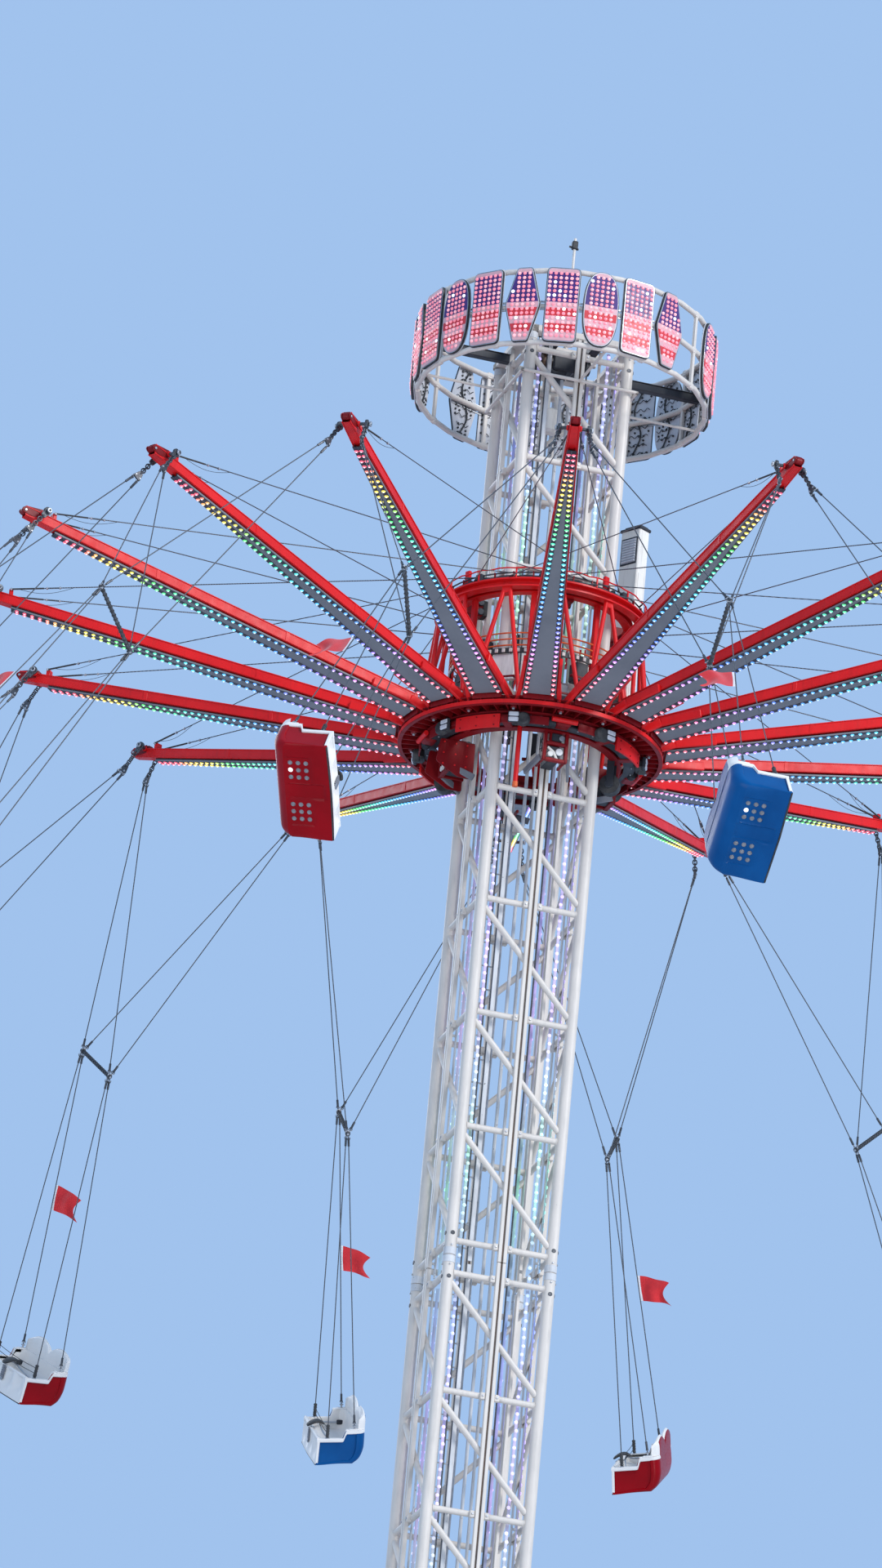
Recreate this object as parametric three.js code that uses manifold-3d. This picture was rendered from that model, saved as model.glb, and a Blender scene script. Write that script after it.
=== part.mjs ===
// A swing tower ride: a lattice mast, a carriage that climbs it, a turning star of sixteen arms, and
// sixteen two-seat gondolas flung outwards on ropes, under a crown of light panels.
// Lengths are real millimetres, +Z up, the ground at zero. The whole ride is then shown at 1:2.

import * as THREE from 'three';
import { mergeVertices } from 'three/addons/utils/BufferGeometryUtils.js';
import Module from 'manifold-3d';

const wasm = await Module();
wasm.setup();

// Driving dimensions
const MODEL_SCALE = 1 / 2;
const SEAT_GAP = 1; // between pieces that touch, at real size

const BASE_TOP = 1660;
const SECTION_LENGTH = 12000;
const SECTIONS = 4;
const BAYS = 8;
const BAY = 1450;
const LEG_AT = 630; // from the axis to a leg's centre, along X and along Y
const LEG_HALF = 64;
const RUNG_HALF = 38;
const BRACE_RADIUS = 38;
const MAST_TOP = BASE_TOP + SECTIONS * SECTION_LENGTH;
const RAIL = { width: 110, back: LEG_AT + RUNG_HALF + SEAT_GAP, face: LEG_AT + RUNG_HALF + 51 };

const STAR_LEVEL = 44400; // the turning ring's underside
const STAR_TURN = 7.75; // degrees
const ARMS = 16;
const ARM_STEP = 360 / ARMS;
const RING = { inner: 1200, outer: 1620, height: 120 };
const ARM_ROOT = { r: 1640, z: 280, width: 420, height: 135 };
const ARM_TIP = { r: 6860, z: 1413, width: 110, height: 100 };
const HINGE = { r: 6660, z: 1430, pin: 30, pinLength: 225 };
const UPPER_RING = { inner: 1190, outer: 1310, z: 1680, height: 110 };
const STAY_LUG = { r: 6480, half: 55, drop: 70, rise: 75 }; // the last two from the hinge's level

const SWING = 37; // degrees out from hanging, from the hinge to the spreader
const SPREADER_DROP = 4100;
const SPREADER_HALF = 430;
const CAR_BELOW = 4434; // the spreader's middle to the underside of the gondola
const CAR_HALF_WIDTH = 580;
const FRONT_ROPE = { x: 550, y: 168, z: 350 }; // where the ropes meet the gondola's rim
const BACK_ROPE = { x: 550, y: -184, z: 510 };
// Below its spreader each gondola leans out and trails by its own angles, in degrees.
const USUAL_HANG = { lean: 35, lag: 6 };
const HANGS = {
  '03': { lean: 27, lag: 6 },
  '04': { lean: 31, lag: 9.7 },
  '05': { lean: 29, lag: 9.6 },
  11: { lean: 39, lag: 5.6 },
  12: { lean: 39, lag: 2.4 },
};
const ROPE_RADIUS = 12;
const ROPE_END_GAP = 1.7; // a leaning rope's end, over the rim

const CROWN = { radius: 1790, low: 49060, high: 50090, hoop: 35 };
const SIGN_TURN = 220.7; // degrees
const SIGN_PANELS = 11;
const PANEL_STEP = 15; // degrees, and the angle of one straight length of the crown's hoops

// Basic solids
const X = new THREE.Vector3(1, 0, 0);
const Y = new THREE.Vector3(0, 1, 0);
const Z = new THREE.Vector3(0, 0, 1);
const QUARTERS = [0, 90, 180, 270];
const at = (x, y, z) => new THREE.Vector3(x, y, z);
const degrees = THREE.MathUtils.degToRad;
const turned = (point, angle) => point.clone().applyAxisAngle(Z, degrees(angle));

function toSolid(geometry) {
  const plain = new THREE.BufferGeometry().setAttribute('position', geometry.getAttribute('position'));
  plain.setIndex(geometry.index);
  const merged = mergeVertices(plain, 1e-3);
  const triVerts = new Uint32Array(merged.index.array);
  const vertProperties = merged.attributes.position.array;
  return new wasm.Manifold(new wasm.Mesh({ numProp: 3, vertProperties, triVerts }));
}

function toGeometry(solid) {
  const mesh = solid.getMesh();
  const points = [];
  for (let i = 0; i < mesh.vertProperties.length; i += mesh.numProp) {
    points.push(mesh.vertProperties[i], mesh.vertProperties[i + 1], mesh.vertProperties[i + 2]);
  }
  const geometry = new THREE.BufferGeometry();
  geometry.setAttribute('position', new THREE.Float32BufferAttribute(points, 3));
  geometry.setIndex(new THREE.BufferAttribute(new Uint32Array(mesh.triVerts), 1));
  return geometry;
}

const fuse = (solids) => wasm.Manifold.union(solids);
const roundFourSides = (solid) => QUARTERS.map((turn) => solid.rotate([0, 0, turn]));

function bar(from, to, radius, sides = 3) {
  const along = to.clone().sub(from);
  const geometry = new THREE.CylinderGeometry(radius, radius, along.length(), sides);
  geometry.applyQuaternion(new THREE.Quaternion().setFromUnitVectors(Y, along.normalize()));
  const middle = from.clone().add(to).multiplyScalar(0.5);
  return toSolid(geometry.translate(middle.x, middle.y, middle.z));
}

function block(low, high) {
  const size = high.clone().sub(low);
  const middle = low.clone().add(high).multiplyScalar(0.5);
  return toSolid(new THREE.BoxGeometry(size.x, size.y, size.z).translate(middle.x, middle.y, middle.z));
}

// A block between two radii, straddling the ray at an angle.
function radialBlock(inner, outer, width, low, high, angle) {
  return block(at(inner, -width / 2, low), at(outer, width / 2, high)).rotate([0, 0, angle]);
}

// A square frame round the mast.
function squareFrame(inner, outer, low, high) {
  const hole = block(at(-inner, -inner, low - 10), at(inner, inner, high + 10));
  return block(at(-outer, -outer, low), at(outer, outer, high)).subtract(hole);
}

function ring(inner, outer, low, high, segments) {
  const profile = [[inner, low], [outer, low], [outer, high], [inner, high], [inner, low]];
  const points = profile.map(([r, z]) => new THREE.Vector2(r, z));
  return toSolid(new THREE.LatheGeometry(points, segments).rotateX(Math.PI / 2));
}

// Part of a flat ring, between two angles.
function arc(inner, outer, low, high, from, to, segments) {
  const shape = new THREE.Shape();
  shape.absarc(0, 0, outer, degrees(from), degrees(to), false);
  shape.absarc(0, 0, inner, degrees(to), degrees(from), true);
  const settings = { depth: high - low, bevelEnabled: false, curveSegments: segments };
  return toSolid(new THREE.ExtrudeGeometry(shape, settings).translate(0, 0, low));
}

// An outline of [y, z] pairs, drawn out along X.
function sideProfile(outline, fromX, toX) {
  const shape = new THREE.Shape(outline.map(([y, z]) => new THREE.Vector2(y, z)));
  const geometry = new THREE.ExtrudeGeometry(shape, { depth: toX - fromX, bevelEnabled: false });
  return toSolid(geometry.rotateX(Math.PI / 2).rotateZ(Math.PI / 2).translate(fromX, 0, 0));
}

// A shape drawn in X and Z, drawn out along Y.
function frontProfile(shape, fromY, toY, curveSegments = 6) {
  const settings = { depth: toY - fromY, bevelEnabled: false, curveSegments };
  return toSolid(new THREE.ExtrudeGeometry(shape, settings).rotateX(Math.PI / 2).translate(0, toY, 0));
}

const outlineShape = (outline) => new THREE.Shape(outline.map(([x, z]) => new THREE.Vector2(x, z)));

function taperedBeam(root, tip) {
  const from = at(root.r, 0, root.z);
  const along = at(tip.r, 0, tip.z).sub(from);
  const geometry = new THREE.BoxGeometry(along.length(), 1, 1);
  const points = geometry.getAttribute('position');
  for (let i = 0; i < points.count; i += 1) {
    const end = points.getX(i) > 0 ? tip : root;
    points.setY(i, points.getY(i) * end.width);
    points.setZ(i, points.getZ(i) * end.height);
  }
  geometry.translate(along.length() / 2, 0, 0);
  geometry.applyQuaternion(new THREE.Quaternion().setFromUnitVectors(X, along.normalize()));
  return toSolid(geometry.translate(from.x, from.y, from.z));
}

// Finishes
const finish = (color, roughness, metalness) =>
  new THREE.MeshStandardMaterial({ color, roughness, metalness });
const whitePaint = finish(0xe6e6e4, 0.45, 0.0);
const redPaint = finish(0xb3161c, 0.4, 0.0);
const darkSteel = finish(0x3c4044, 0.5, 0.7);
const ropeSteel = finish(0x5d6266, 0.4, 0.9);
const cabinetPaint = finish(0xe2e0d6, 0.5, 0.0);
const panelPink = finish(0xe89aa2, 0.45, 0.0);
const redShell = finish(0xa50f1c, 0.25, 0.0);
const blueShell = finish(0x0e62b8, 0.25, 0.0);

function add(group, name, geometry, material) {
  const mesh = new THREE.Mesh(geometry, material);
  mesh.name = name;
  group.add(mesh);
  return mesh;
}

// Base: a pedestal of four posts under the mast's legs, and four outriggers with ground pads
const PLATE = { half: 950, thick: 60 };
const POST_HALF = 100;
const POST_FACE = LEG_AT + POST_HALF;
const OUTRIGGER = { outer: 4300, half: 130, low: 120, high: 420 };

function pedestal() {
  const head = BASE_TOP - SEAT_GAP;
  const tie = { half: 70, levels: [520, head - 220] };
  const post = block(
    at(LEG_AT - POST_HALF, LEG_AT - POST_HALF, PLATE.thick - 5),
    at(POST_FACE, POST_FACE, head),
  );
  const ties = tie.levels.map((z) => squareFrame(LEG_AT - tie.half, LEG_AT + tie.half, z, z + 2 * tie.half));
  const plate = block(at(-PLATE.half, -PLATE.half, 0), at(PLATE.half, PLATE.half, PLATE.thick));
  return fuse([plate, ...roundFourSides(post), ...ties]);
}

function outrigger() {
  const { outer, half, low, high } = OUTRIGGER;
  const flangeInner = POST_FACE + SEAT_GAP;
  const flange = { outer: POST_FACE + 70, half: POST_FACE - 30, top: BASE_TOP - 90 };
  const jackAt = outer - 220;
  return fuse([
    block(at(flangeInner, -flange.half, low), at(flange.outer, flange.half, flange.top)),
    block(at(flange.outer - 10, -half, low + 5), at(outer, half, high)),
    bar(at(flange.outer - 60, 0, flange.top - 120), at(outer - 500, 0, high - 60), 75, 4),
    bar(at(jackAt, 0, 40), at(jackAt, 0, low + 20), 90, 8),
    block(at(jackAt - 300, -300, 0), at(jackAt + 300, 300, 45)),
  ]);
}

// Mast section: four legs, and on each face a rung at both ends of every bay and one brace across it
function mastSection() {
  const end = SECTION_LENGTH - SEAT_GAP;
  const margin = (SECTION_LENGTH - BAYS * BAY) / 2;
  const braceDrop = 112;
  const side = [
    block(at(-LEG_AT - LEG_HALF, -LEG_AT - LEG_HALF, 0), at(-LEG_AT + LEG_HALF, -LEG_AT + LEG_HALF, end)),
  ];
  for (let bay = 0; bay <= BAYS; bay += 1) {
    const z = margin + bay * BAY;
    side.push(
      block(at(-LEG_AT, -LEG_AT - RUNG_HALF, z - RUNG_HALF), at(LEG_AT, -LEG_AT + RUNG_HALF, z + RUNG_HALF)),
    );
    if (bay > 0) {
      const upper = at(-LEG_AT, -LEG_AT, z - braceDrop);
      const lower = at(LEG_AT, -LEG_AT, z - BAY + braceDrop);
      side.push(bar(upper, lower, BRACE_RADIUS));
    }
  }
  return fuse(roundFourSides(fuse(side)));
}

// Guide rails: one up the middle of each face, tied at the foot by a frame round the mast
function guideRails() {
  const foot = squareFrame(LEG_AT + LEG_HALF + 2, LEG_AT + 130, BASE_TOP, BASE_TOP + 90);
  const rail = block(at(-RAIL.width / 2, -RAIL.face, BASE_TOP), at(RAIL.width / 2, -RAIL.back, MAST_TOP));
  return fuse([foot, ...roundFourSides(rail)]);
}

// Mast head: a closing frame, two rope sheaves on cross beams, and a thin aerial
function mastHead() {
  const low = MAST_TOP + SEAT_GAP;
  const high = low + 90;
  const half = LEG_AT + 80;
  const beamAt = 260;
  const beams = [-beamAt, beamAt].map((x) =>
    block(at(x - 60, -half + 20, low + 10), at(x + 60, half - 20, high + 40)),
  );
  const axle = high + 200;
  const sheaves = [-beamAt, beamAt].map((x) => bar(at(x - 40, 0, axle), at(x + 40, 0, axle), 210, 8));
  const deck = block(at(-beamAt, -130, high - 40), at(beamAt, 130, high + 30));
  const aerial = bar(at(0, 0, high), at(0, 0, 51340), 28, 4);
  const crossArm = bar(at(-70, 0, 51200), at(70, 0, 51200), 22, 4);
  return fuse([squareFrame(half - 150, half, low, high), ...beams, ...sheaves, deck, aerial, crossArm]);
}

// Crown: two hoops on posts, carried on spokes from a collar on the mast
function crownFrame() {
  const { radius, low, high, hoop } = CROWN;
  const inner = radius - hoop;
  const outer = radius + hoop;
  const posts = 12;
  const hoopTurn = SIGN_TURN - PANEL_STEP / 2;
  const pieces = [low, high - 2 * hoop].map((z) =>
    ring(inner, outer, z, z + 2 * hoop, 360 / PANEL_STEP).rotate([0, 0, hoopTurn]),
  );
  for (let post = 0; post < posts; post += 1) {
    const angle = ((post + 0.5) * 360) / posts;
    pieces.push(radialBlock(inner + 8, outer - 12, 60, low + 10, high - 10, angle));
  }
  const collarInner = RAIL.face + SEAT_GAP;
  pieces.push(squareFrame(collarInner, collarInner + 80, low + 5, low + 95));
  for (const turn of QUARTERS) {
    pieces.push(radialBlock(collarInner + 40, inner + 15, 90, low + 5, low + 65, turn));
  }
  return fuse(pieces);
}

// Sign: eleven light panels joined by a strip, each flat against one straight length of the hoops
function panelShape(kind) {
  const halfWidth = 215;
  const halfHeight = 500;
  const barHalf = 190;
  const outlines = {
    bar: [[-barHalf, -halfHeight], [barHalf, -halfHeight], [barHalf, halfHeight], [-barHalf, halfHeight]],
    diamond: [[0, -halfHeight], [halfWidth, 0], [0, halfHeight], [-halfWidth, 0]],
  };
  if (kind in outlines) return outlineShape(outlines[kind]);
  return new THREE.Shape().absellipse(0, 0, halfWidth, halfHeight, 0, 2 * Math.PI, false);
}

function signStrip(apothem, thickness, low, high) {
  const corner = (radius, i) => {
    const angle = degrees((i - SIGN_PANELS / 2) * PANEL_STEP);
    return [radius * Math.cos(angle), radius * Math.sin(angle)];
  };
  const toCorner = 1 / Math.cos(degrees(PANEL_STEP / 2));
  const outline = [];
  for (let i = 0; i <= SIGN_PANELS; i += 1) outline.push(corner((apothem + thickness) * toCorner, i));
  for (let i = SIGN_PANELS; i >= 0; i -= 1) outline.push(corner(apothem * toCorner, i));
  const settings = { depth: high - low, bevelEnabled: false };
  return toSolid(new THREE.ExtrudeGeometry(outlineShape(outline), settings).translate(0, 0, low));
}

function crownSign() {
  const back = (CROWN.radius + CROWN.hoop) * Math.cos(degrees(PANEL_STEP / 2)) + SEAT_GAP;
  const thickness = 50;
  const middle = (CROWN.low + CROWN.high) / 2;
  const kinds = ['oval', 'bar', 'diamond', 'bar'];
  const pieces = [signStrip(back, 30, middle - 60, middle + 60)];
  for (let i = 0; i < SIGN_PANELS; i += 1) {
    const panel = frontProfile(panelShape(kinds[i % kinds.length]), -thickness, 0, 5).rotate([0, 0, 90]);
    pieces.push(panel.translate([back, 0, middle]).rotate([0, 0, (i - (SIGN_PANELS - 1) / 2) * PANEL_STEP]));
  }
  return fuse(pieces);
}

// Carriage: two collars joined by posts, with guide shoes on the rails, a catch cage below each side, and
// a skirt round the drive in four lengths, between the motors
const COLLAR = { inner: 1010, outer: 1120, height: 130 };
const SHOE = { half: 80, height: 220 };
const CAGE = { half: 200, drop: 270, bar: 30 };
const SKIRT = { inner: 1335, outer: 1385, drop: 250, topDrop: 30, from: 8, to: 82 };

function guideShoe(low, outer) {
  return block(at(-SHOE.half, -outer, low), at(SHOE.half, -RAIL.face - SEAT_GAP, low + SHOE.height));
}

function catchCage(top) {
  const front = -COLLAR.outer + 50;
  const back = front + 2 * CAGE.bar;
  const low = top - CAGE.drop;
  const upright = (x) => block(at(x - CAGE.bar, front, low), at(x + CAGE.bar, back, top + 20));
  const cross = block(at(-CAGE.half, front, low), at(CAGE.half, back, low + 2 * CAGE.bar));
  return [upright(-CAGE.half), upright(CAGE.half), cross, guideShoe(low + 10, -front - 10)];
}

function skirtLength(collarLow) {
  const { inner, outer, drop, topDrop, from, to } = SKIRT;
  const plate = arc(inner, outer, STAR_LEVEL - drop, STAR_LEVEL - topDrop, from, to, 6);
  const webs = [from + 20, to - 20].map((angle) =>
    radialBlock(COLLAR.outer - 20, inner + 15, 120, collarLow - 40, collarLow + 40, angle),
  );
  return [plate, ...webs];
}

function carriageFrame() {
  const low = STAR_LEVEL - 200;
  const high = STAR_LEVEL + UPPER_RING.z;
  const shoeOuter = COLLAR.inner + 40;
  const shoes = [guideShoe(low - 40, shoeOuter), guideShoe(high - 40, shoeOuter)];
  const side = [...catchCage(low), ...skirtLength(low), ...shoes];
  for (const angle of [-22.5, 22.5]) {
    side.push(radialBlock(COLLAR.inner + 5, COLLAR.outer - 30, 90, low + 20, high + 20, angle));
  }
  const collars = [low, high].map((z) => ring(COLLAR.inner, COLLAR.outer, z, z + COLLAR.height, 16));
  return fuse([...collars, ...roundFourSides(fuse(side))]);
}

// Bearing: the fixed ring under the star, on brackets from the lower collar, with four drive motors
function bearingRing() {
  const top = STAR_LEVEL - SEAT_GAP;
  const low = top - 150;
  const pieces = [ring(1150, 1280, low, top, 24)];
  const motorAt = 1360;
  for (const turn of QUARTERS) {
    const bracket = block(at(COLLAR.outer + SEAT_GAP, -250, low + 10), at(1170, 250, low + 110));
    const motor = block(at(motorAt - 120, -110, low - 200), at(motorAt + 120, 110, top - 60));
    const gearbox = bar(at(motorAt, 0, low - 380), at(motorAt, 0, low - 190), 100, 6);
    pieces.push(fuse([bracket, motor, gearbox]).rotate([0, 0, turn]));
  }
  return fuse(pieces);
}

// Star: a turning ring bolted together from four quarters, each with four arms
function armTipHead() {
  const head = at(HINGE.r, 0, HINGE.z);
  const pieces = [block(at(HINGE.r - 90, -75, HINGE.z - 95), at(HINGE.r + 90, 75, HINGE.z + 75))];
  for (const side of [-1, 1]) {
    const reach = turned(at(HINGE.pinLength, 0, 0), side * (90 + ARM_STEP / 2));
    pieces.push(bar(head, head.clone().add(reach), HINGE.pin, 6));
  }
  const lugLow = at(STAY_LUG.r - 30, -STAY_LUG.half, HINGE.z - STAY_LUG.drop);
  pieces.push(block(lugLow, at(STAY_LUG.r + 30, STAY_LUG.half, HINGE.z + STAY_LUG.rise)));
  return fuse(pieces);
}

// A haunch under each arm's root, down to the ring's level.
function armHaunch() {
  const outline = [[1540, 20], [1640, 20], [2000, 280], [2000, 330], [1540, 300]];
  return frontProfile(outlineShape(outline), -190, 190);
}

function armQuarter() {
  const start = -ARM_STEP / 2;
  const joint = 0.03; // degrees, between neighbouring quarters
  const arms = ARMS / 4;
  const plate = arc(RING.inner, RING.outer, 0, RING.height, start + joint, start + 90 - joint, 8);
  const arm = fuse([taperedBeam(ARM_ROOT, ARM_TIP), armTipHead(), armHaunch()]);
  const pieces = [plate];
  for (let i = 0; i < arms; i += 1) pieces.push(arm.rotate([0, 0, i * ARM_STEP]));
  return fuse(pieces);
}

// Upper ring: a hoop over the star on leaning struts that meet in pairs under it
function upperRing() {
  const { inner, outer, z, height } = UPPER_RING;
  const strut = { pairs: 12, footRadius: 1430, thickness: 38, topSpread: 1.4, footSpread: 13.3 };
  const footLevel = RING.height + SEAT_GAP + 9;
  const pieces = [ring(inner, outer, z, z + height, ARMS)];
  for (let pair = 0; pair < strut.pairs; pair += 1) {
    const apex = ((pair + 0.5) * 360) / strut.pairs;
    for (const side of [-1, 1]) {
      const top = turned(at((inner + outer) / 2, 0, z + 20), apex + side * strut.topSpread);
      const low = turned(at(strut.footRadius, 0, footLevel), apex + side * strut.footSpread);
      pieces.push(bar(top, low, strut.thickness));
    }
  }
  return fuse(pieces);
}

// Stay ropes: two from each arm tip to a clamp ring on the upper ring, two arms along to each side. Those
// that lean one way pass over those that lean the other.
function stayRopes() {
  const low = UPPER_RING.z + UPPER_RING.height + SEAT_GAP;
  const clamp = { radius: (UPPER_RING.inner + UPPER_RING.outer) / 2, half: 40, height: 100, ropes: 60 };
  const pieces = [ring(clamp.radius - clamp.half, clamp.radius + clamp.half, low, low + clamp.height, ARMS)];
  const level = low + clamp.ropes;
  for (let i = 0; i < ARMS; i += 1) {
    for (const side of [-1, 1]) {
      const lugSide = side * (STAY_LUG.half + ROPE_RADIUS + SEAT_GAP);
      const lug = turned(at(STAY_LUG.r, lugSide, HINGE.z + 20 + side * 35), i * ARM_STEP);
      const end = turned(at(clamp.radius, 0, level + side * 25), (i + 2 * side) * ARM_STEP);
      pieces.push(bar(lug, end, ROPE_RADIUS));
    }
  }
  return fuse(pieces);
}

// Control cabinet: stands on the root of one arm, outside the upper ring
function controlCabinet() {
  const floor = 350;
  const roof = 3545;
  return fuse([
    radialBlock(1460, 1640, 310, floor + 60, roof, ARM_STEP),
    radialBlock(1500, 1640, 200, floor, floor + 70, ARM_STEP),
    radialBlock(1490, 1650, 260, roof - 5, roof + 55, ARM_STEP),
  ]);
}

// Gondola, in a frame whose origin is the middle of its hinge line: X outwards, Y the way it travels
function linkPlate(end) {
  const pinSides = 6;
  const eye = (HINGE.pin + 1.5) / Math.cos(Math.PI / pinSides);
  const shape = outlineShape([[-45, 45], [-58, -400], [58, -400], [45, 45]]);
  // The eye's flats face the pin's corners while the gondola is flung out.
  const corners = Array.from({ length: pinSides }, (_, i) => degrees(((i + 1) * 360) / pinSides - SWING));
  const hole = corners.map((angle) => new THREE.Vector2(eye * Math.cos(angle), eye * Math.sin(angle)));
  shape.holes.push(new THREE.Path(hole));
  const near = HINGE.r * Math.sin(degrees(ARM_STEP / 2)) - 150;
  const plate = frontProfile(shape, near - 40, near);
  return end > 0 ? plate : plate.scale([1, -1, 1]);
}

const hangTurn = ({ lean, lag }) => new THREE.Euler(degrees(-lag), degrees(SWING - lean), 0, 'YXZ');

function suspension(hang) {
  const yokeAt = HINGE.r * Math.sin(degrees(ARM_STEP / 2)) - 170;
  const spreader = { end: SPREADER_HALF + 35, halfWidth: 36, halfHeight: 40 };
  const spreaderReach = at(spreader.end, spreader.halfWidth, spreader.halfHeight);
  const middle = at(0, 0, -SPREADER_DROP);
  const bars = [block(middle.clone().sub(spreaderReach), middle.clone().add(spreaderReach))];
  for (const side of [-1, 1]) {
    const junction = at(side * SPREADER_HALF, 0, -SPREADER_DROP);
    for (const end of [-1, 1]) {
      const yoke = at(side * 34, end * yokeAt, -380);
      bars.push(bar(yoke, junction.clone().add(at(0, end * 15, 20)), ROPE_RADIUS));
    }
    for (const rim of [FRONT_ROPE, BACK_ROPE]) {
      const start = junction.clone().add(at(0, Math.sign(rim.y) * 15, -20));
      const end = at(side * rim.x, rim.y, rim.z - CAR_BELOW + ROPE_END_GAP).applyEuler(hangTurn(hang));
      bars.push(bar(start, end.add(middle), ROPE_RADIUS));
    }
  }
  return fuse([linkPlate(-1), linkPlate(1), ...bars]);
}

function gondolaShell() {
  const wall = 60;
  const inside = CAR_HALF_WIDTH - wall;
  const hull = sideProfile(
    [
      [320, 25], [335, 350], [-60, 350], [-110, 510], [-330, 510], [-325, 330],
      [-300, 200], [-230, 70], [-140, 0], [290, 0],
    ],
    -CAR_HALF_WIDTH,
    CAR_HALF_WIDTH,
  );
  const seat = sideProfile(
    [[262, 600], [250, 230], [-130, 180], [-215, 260], [-262, 600]],
    -inside,
    inside,
  );
  const back = frontProfile(
    outlineShape([
      [-560, 0], [-560, 190], [-470, 390], [-290, 430], [-120, 380], [0, 230],
      [120, 380], [290, 430], [470, 390], [560, 190], [560, 0],
    ]),
    -45,
    45,
  );
  const reclined = back.rotate([8, 0, 0]).translate([0, -290, 425]);
  return fuse([hull.subtract(seat), reclined]).translate([0, 0, -CAR_BELOW]);
}

// The ride
const ride = new THREE.Group();
ride.scale.setScalar(MODEL_SCALE);

add(ride, 'base_pedestal', toGeometry(pedestal()), whitePaint);
const outriggerGeometry = toGeometry(outrigger());
QUARTERS.forEach((turn, i) => {
  add(ride, `outrigger_${i + 1}`, outriggerGeometry, whitePaint).rotation.z = degrees(turn);
});

const sectionGeometry = toGeometry(mastSection());
for (let i = 0; i < SECTIONS; i += 1) {
  add(ride, `mast_section_${i + 1}`, sectionGeometry, whitePaint).position.z = BASE_TOP + i * SECTION_LENGTH;
}
add(ride, 'guide_rails', toGeometry(guideRails()), darkSteel);
add(ride, 'mast_head', toGeometry(mastHead()), whitePaint);
add(ride, 'crown_frame', toGeometry(crownFrame()), whitePaint);
const signGeometry = toGeometry(crownSign());
add(ride, 'crown_sign_front', signGeometry, panelPink).rotation.z = degrees(SIGN_TURN);
add(ride, 'crown_sign_back', signGeometry, panelPink).rotation.z = degrees(SIGN_TURN + 180);

add(ride, 'carriage_frame', toGeometry(carriageFrame()), redPaint);
add(ride, 'bearing_ring', toGeometry(bearingRing()), darkSteel);

const star = new THREE.Group();
star.position.z = STAR_LEVEL;
star.rotation.z = degrees(STAR_TURN);
ride.add(star);
const quarterGeometry = toGeometry(armQuarter());
QUARTERS.forEach((turn, i) => {
  add(star, `arm_quarter_${i + 1}`, quarterGeometry, redPaint).rotation.z = degrees(turn);
});
add(star, 'upper_ring', toGeometry(upperRing()), redPaint);
add(star, 'stay_ropes', toGeometry(stayRopes()), ropeSteel);
add(star, 'control_cabinet', toGeometry(controlCabinet()), cabinetPaint);

const shellGeometry = toGeometry(gondolaShell());
for (let i = 0; i < ARMS; i += 1) {
  const label = String(i + 1).padStart(2, '0');
  const spoke = new THREE.Group();
  spoke.rotation.z = degrees((i + 0.5) * ARM_STEP);
  const swing = new THREE.Group();
  swing.position.set(HINGE.r * Math.cos(degrees(ARM_STEP / 2)), 0, HINGE.z);
  swing.rotation.y = degrees(-SWING);
  star.add(spoke);
  spoke.add(swing);
  const hang = HANGS[label] ?? USUAL_HANG;
  add(swing, `suspension_${label}`, toGeometry(suspension(hang)), ropeSteel);
  const shell = add(swing, `gondola_${label}`, shellGeometry, i % 2 ? blueShell : redShell);
  shell.position.z = -SPREADER_DROP;
  shell.rotation.copy(hangTurn(hang));
}

export default ride;
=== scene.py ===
# A swing tower ride: lattice mast, climbing carriage, turning star of lit arms, sixteen gondolas on
# ropes, and a crown of light panels. Lengths are real metres; each mesh is then made at 1:2.

import math
import random

import bmesh
import bpy
from mathutils import Matrix, Vector


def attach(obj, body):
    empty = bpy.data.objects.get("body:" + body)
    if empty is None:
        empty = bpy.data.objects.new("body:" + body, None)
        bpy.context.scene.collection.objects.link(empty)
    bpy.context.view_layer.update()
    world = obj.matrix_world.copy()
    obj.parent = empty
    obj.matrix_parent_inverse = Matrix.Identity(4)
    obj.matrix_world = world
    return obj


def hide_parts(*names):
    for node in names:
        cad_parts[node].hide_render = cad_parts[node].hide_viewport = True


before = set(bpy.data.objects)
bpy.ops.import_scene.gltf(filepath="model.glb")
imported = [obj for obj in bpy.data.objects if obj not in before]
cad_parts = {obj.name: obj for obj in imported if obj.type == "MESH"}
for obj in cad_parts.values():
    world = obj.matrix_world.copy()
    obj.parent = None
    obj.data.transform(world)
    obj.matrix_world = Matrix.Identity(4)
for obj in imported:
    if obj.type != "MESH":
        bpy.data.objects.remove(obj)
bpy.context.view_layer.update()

# Driving dimensions, most of them the CAD's
MODEL_SCALE = 0.5
BASE_TOP = 1.66
SECTION = 12.0
SECTIONS = 4
BAYS = 8
BAY = 1.45
SECTION_END = 0.2  # from a section's end to its first rung
LEG_AT = 0.63
LEG_RADIUS = 0.07
RUNG_RADIUS = 0.038
RAIL_BACK = 0.669
RAIL_FACE = 0.719
LAMP_STRIPS = (-0.48, 0.4)  # places across a face
LIGHTS_TOP = 50  # the level that the mast lamps' colours are measured to
MAST_TOP = BASE_TOP + SECTIONS * SECTION
AERIAL_STEP = 50.6  # where the aerial gets thinner
AERIAL_TOP = 51.34

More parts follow.
